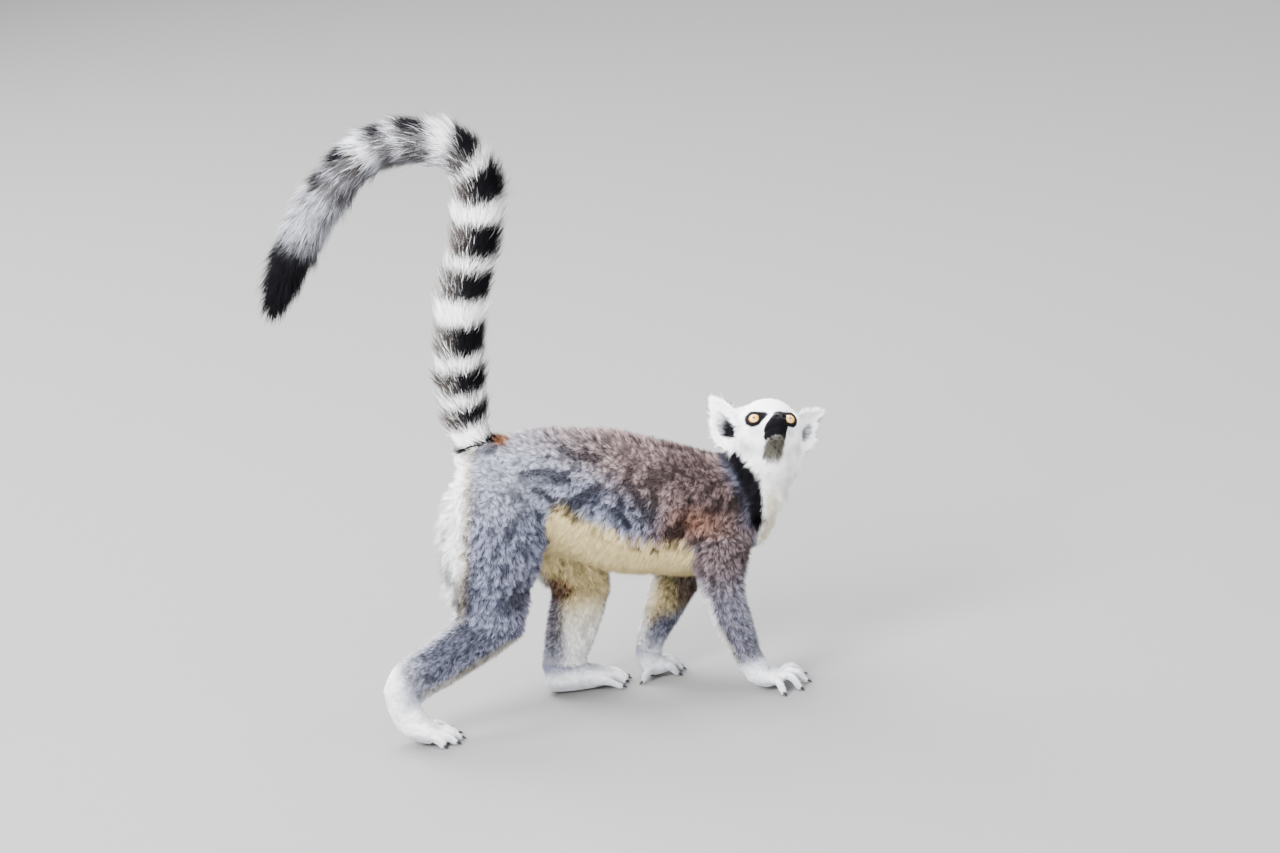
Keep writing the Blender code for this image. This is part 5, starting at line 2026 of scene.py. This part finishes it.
@dataclass
class Nose:
    """The bare nose pad with its two comma nostrils and the groove under them."""

    middle: tuple = (36.0, 0.2, -13.4)
    half: tuple = (6.4, 7.3, 5.2)

    def build(self) -> None:
        """Make the nose from a fine sphere pushed into shape."""
        nose = new_sphere("nose_pad", 128, 96, 1.0)
        points = points_of(nose.data)
        away = points[:, [2, 0, 1]].copy()
        rows = away * np.array(self.half)
        side, up = np.abs(rows[:, 1]), rows[:, 2]
        narrow = 1.0 - 0.34 * step(-0.5, -4.6, up) - 0.10 * step(2.0, 5.0, up)
        rows[:, 1] *= narrow
        front = step(0.0, 0.5, away[:, 0])
        groove = np.clip(1.0 - np.abs(rows[:, 1]) / 0.8, 0.0, 1.0) * step(2.0, -1.0, up) * front
        rows[:, 0] -= 0.8 * groove
        slit = self._slit(side, up)
        rows[:, 0] -= 3.0 * slit * front
        wing = np.exp(-((side - 3.9) ** 2 / 4.0 + (up + 2.9) ** 2 / 0.8)) * front
        rows[:, 0] += 0.8 * wing
        rows[:, 1] += np.sign(rows[:, 1]) * 0.5 * wing
        move_points(nose.data, HEAD.outside(rows + np.array(self.middle)))
        outward_faces(nose.data)
        nose.data.shade_smooth()
        nose.data.materials.append(LeatherFinish("nose_leather", 0.36, 0.10).material())
        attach(nose, "root")
        LOG.info("nose_pad: made")

    def _slit(self, side: Array, up: Array) -> Array:
        """Return how deep a point lies in a nostril, whose slit runs out and curls down.

        Args:
            side: Distance from the middle in millimetres.
            up: Height in millimetres.

        Returns:
            Numbers from 0 to 1.
        """
        hole = np.hypot((side - 3.3) / 1.75, (up + 0.9) / 1.45)
        rise = -0.9 + 1.1 * np.clip((side - 4.0) / 2.5, 0.0, 1.0)
        comma = np.hypot(np.maximum(np.abs(side - 5.1) - 1.2, 0.0), up - rise) / 0.65
        return np.clip(1.5 - 1.5 * np.minimum(hole, comma + 0.35), 0.0, 1.0) ** 0.8


@dataclass
class Nails:
    """Dark nails at the tips of the digits."""

    length: float = 0.0060
    width: float = 0.0038
    height: float = 0.0028

    def build(self) -> None:
        """Model one nail and copy it to every digit."""
        pattern = new_sphere("nail_pattern", 20, 12, 0.5)
        points = points_of(pattern.data)[:, [2, 0, 1]]
        ahead = points[:, 0] + 0.5
        points[:, 1] *= 1.0 - 0.30 * ahead ** 2
        points[:, 2] = points[:, 2] * (1.0 - 0.45 * ahead) - 0.42 * ahead ** 2
        points = points * np.array([self.length, self.width, self.height])
        shape = pattern.data.copy()
        bpy.data.objects.remove(pattern, do_unlink=True)
        move_points(shape, points)
        outward_faces(shape)
        material = LeatherFinish("nail_horn", 0.36, 0.20, colour=(0.007, 0.007, 0.011),
                                 grain=900.0, relief=0.1).material()
        for paw, digits in DIGITS.items():
            copies = []
            for knuckle, tip in digits:
                end = np.array([*tip, DIGIT_TIP_HEIGHT])
                way = unit(end - np.array(knuckle))
                way = unit(way * np.array([1.0, 1.0, 0.35]))
                across = unit(np.cross((0.0, 0.0, 1.0), way))
                up = np.cross(way, across)
                axes = np.stack([way, across, up])
                mesh = shape.copy()
                start = end + way * 0.0026 + up * 0.0006
                move_points(mesh, start + points @ axes)
                copies.append(link_mesh("nail", mesh))
            select_only(*copies)
            bpy.ops.object.join()
            nails = bpy.context.view_layer.objects.active
            nails.name = nails.data.name = "nails_" + paw
            nails.data.shade_smooth()
            nails.data.materials.clear()
            nails.data.materials.append(material)
            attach(nails, "root")
        LOG.info("nails: four sets")


@dataclass
class Studio:
    """Plain floor, soft lights and the camera."""

    aim: tuple = (0.0814, 0.0, 0.2794)
    elevation: float = math.radians(17.0)
    roll: float = math.radians(9.0)
    distance: float = 6.0
    lens: float = 168.75
    sensor: float = 36.0

    def build(self) -> None:
        """Set up the floor, the lights and the camera."""
        self._floor()
        self._lights()
        self._camera()

    def _floor(self) -> None:
        """Lay a wide pale floor."""
        bpy.ops.object.select_all(action="DESELECT")
        bpy.ops.mesh.primitive_plane_add(size=60.0, location=(0.0, 0.0, 0.0))
        floor = bpy.context.view_layer.objects.active
        floor.name = "floor"
        paper = Shading("floor_paper")
        paper.fill(paper.surface, {"Base Color": (0.150, 0.150, 0.148, 1.0), "Roughness": 0.9})
        floor.data.materials.append(paper.material)

    def _lights(self) -> None:
        """Hang the soft lights and light the air."""
        lights = (("key", (-2.3, -2.4, 2.8), 1.9, 740.0), ("fill", (2.8, -2.6, 1.5), 2.6, 215.0),
                  ("front", (0.0, -3.6, 0.9), 2.6, 240.0),
                  ("top", (-0.2, 0.5, 3.2), 2.2, 440.0), ("back", (-1.8, 2.6, 2.1), 2.0, 350.0))
        for name, place, size, power in lights:
            light = bpy.data.lights.new(name, "AREA")
            light.size = size
            light.energy = power
            item = bpy.data.objects.new(name, light)
            item.location = place
            toward = Vector((0.0, 0.0, 0.28)) - Vector(place)
            item.rotation_mode = "QUATERNION"
            item.rotation_quaternion = toward.to_track_quat("-Z", "Y")
            bpy.context.scene.collection.objects.link(item)
        world = bpy.data.worlds.new("air")
        world.use_nodes = True
        air = world.node_tree.nodes["Background"]
        air.inputs["Color"].default_value = (0.9, 0.93, 1.0, 1.0)
        air.inputs["Strength"].default_value = 0.68
        bpy.context.scene.world = world

    def _camera(self) -> None:
        """Place the camera on the animal's right, raised and turned a little."""
        cos_r, sin_r = math.cos(self.roll), math.sin(self.roll)
        cos_e, sin_e = math.cos(self.elevation), math.sin(self.elevation)
        right = Vector((cos_r, -sin_r * sin_e, -sin_r * cos_e))
        up = Vector((sin_r, cos_r * sin_e, cos_r * cos_e))
        back = Vector((0.0, -cos_e, sin_e))
        matrix = Matrix((right, up, back)).transposed().to_4x4()
        matrix.translation = Vector(self.aim) + back * self.distance
        data = bpy.data.cameras.new("camera")
        data.lens = self.lens
        data.sensor_width = self.sensor
        camera = bpy.data.objects.new("camera", data)
        bpy.context.scene.collection.objects.link(camera)
        camera.matrix_world = matrix
        bpy.context.scene.camera = camera


def main() -> None:
    """Build the animal and its studio."""
    logging.basicConfig(level=logging.INFO, format="%(name)s %(message)s")
    Studio().build()
    markings = Markings()
    skin = Skin(markings=markings)
    skin.build()
    LOG.info("skin laid: %d vertices", len(skin.points))
    Coat(markings).build(skin)
    skin.finish()
    for name, way, seed in (("right", -1.0, 41), ("left", 1.0, 42)):
        eye = Eye(name, way)
        eye.build()
        piece = CoatPiece("coat_lids_" + name, ("head",), Finish.DARK, TuftForm.STRAIGHT, seed)
        LOG.info("eye_%s: ball, lids and %d triangles of hair", name,
                 piece.grow(eye.ground, markings))
    Nose().build()
    Nails().build()


if __name__ == "__main__":
    main()
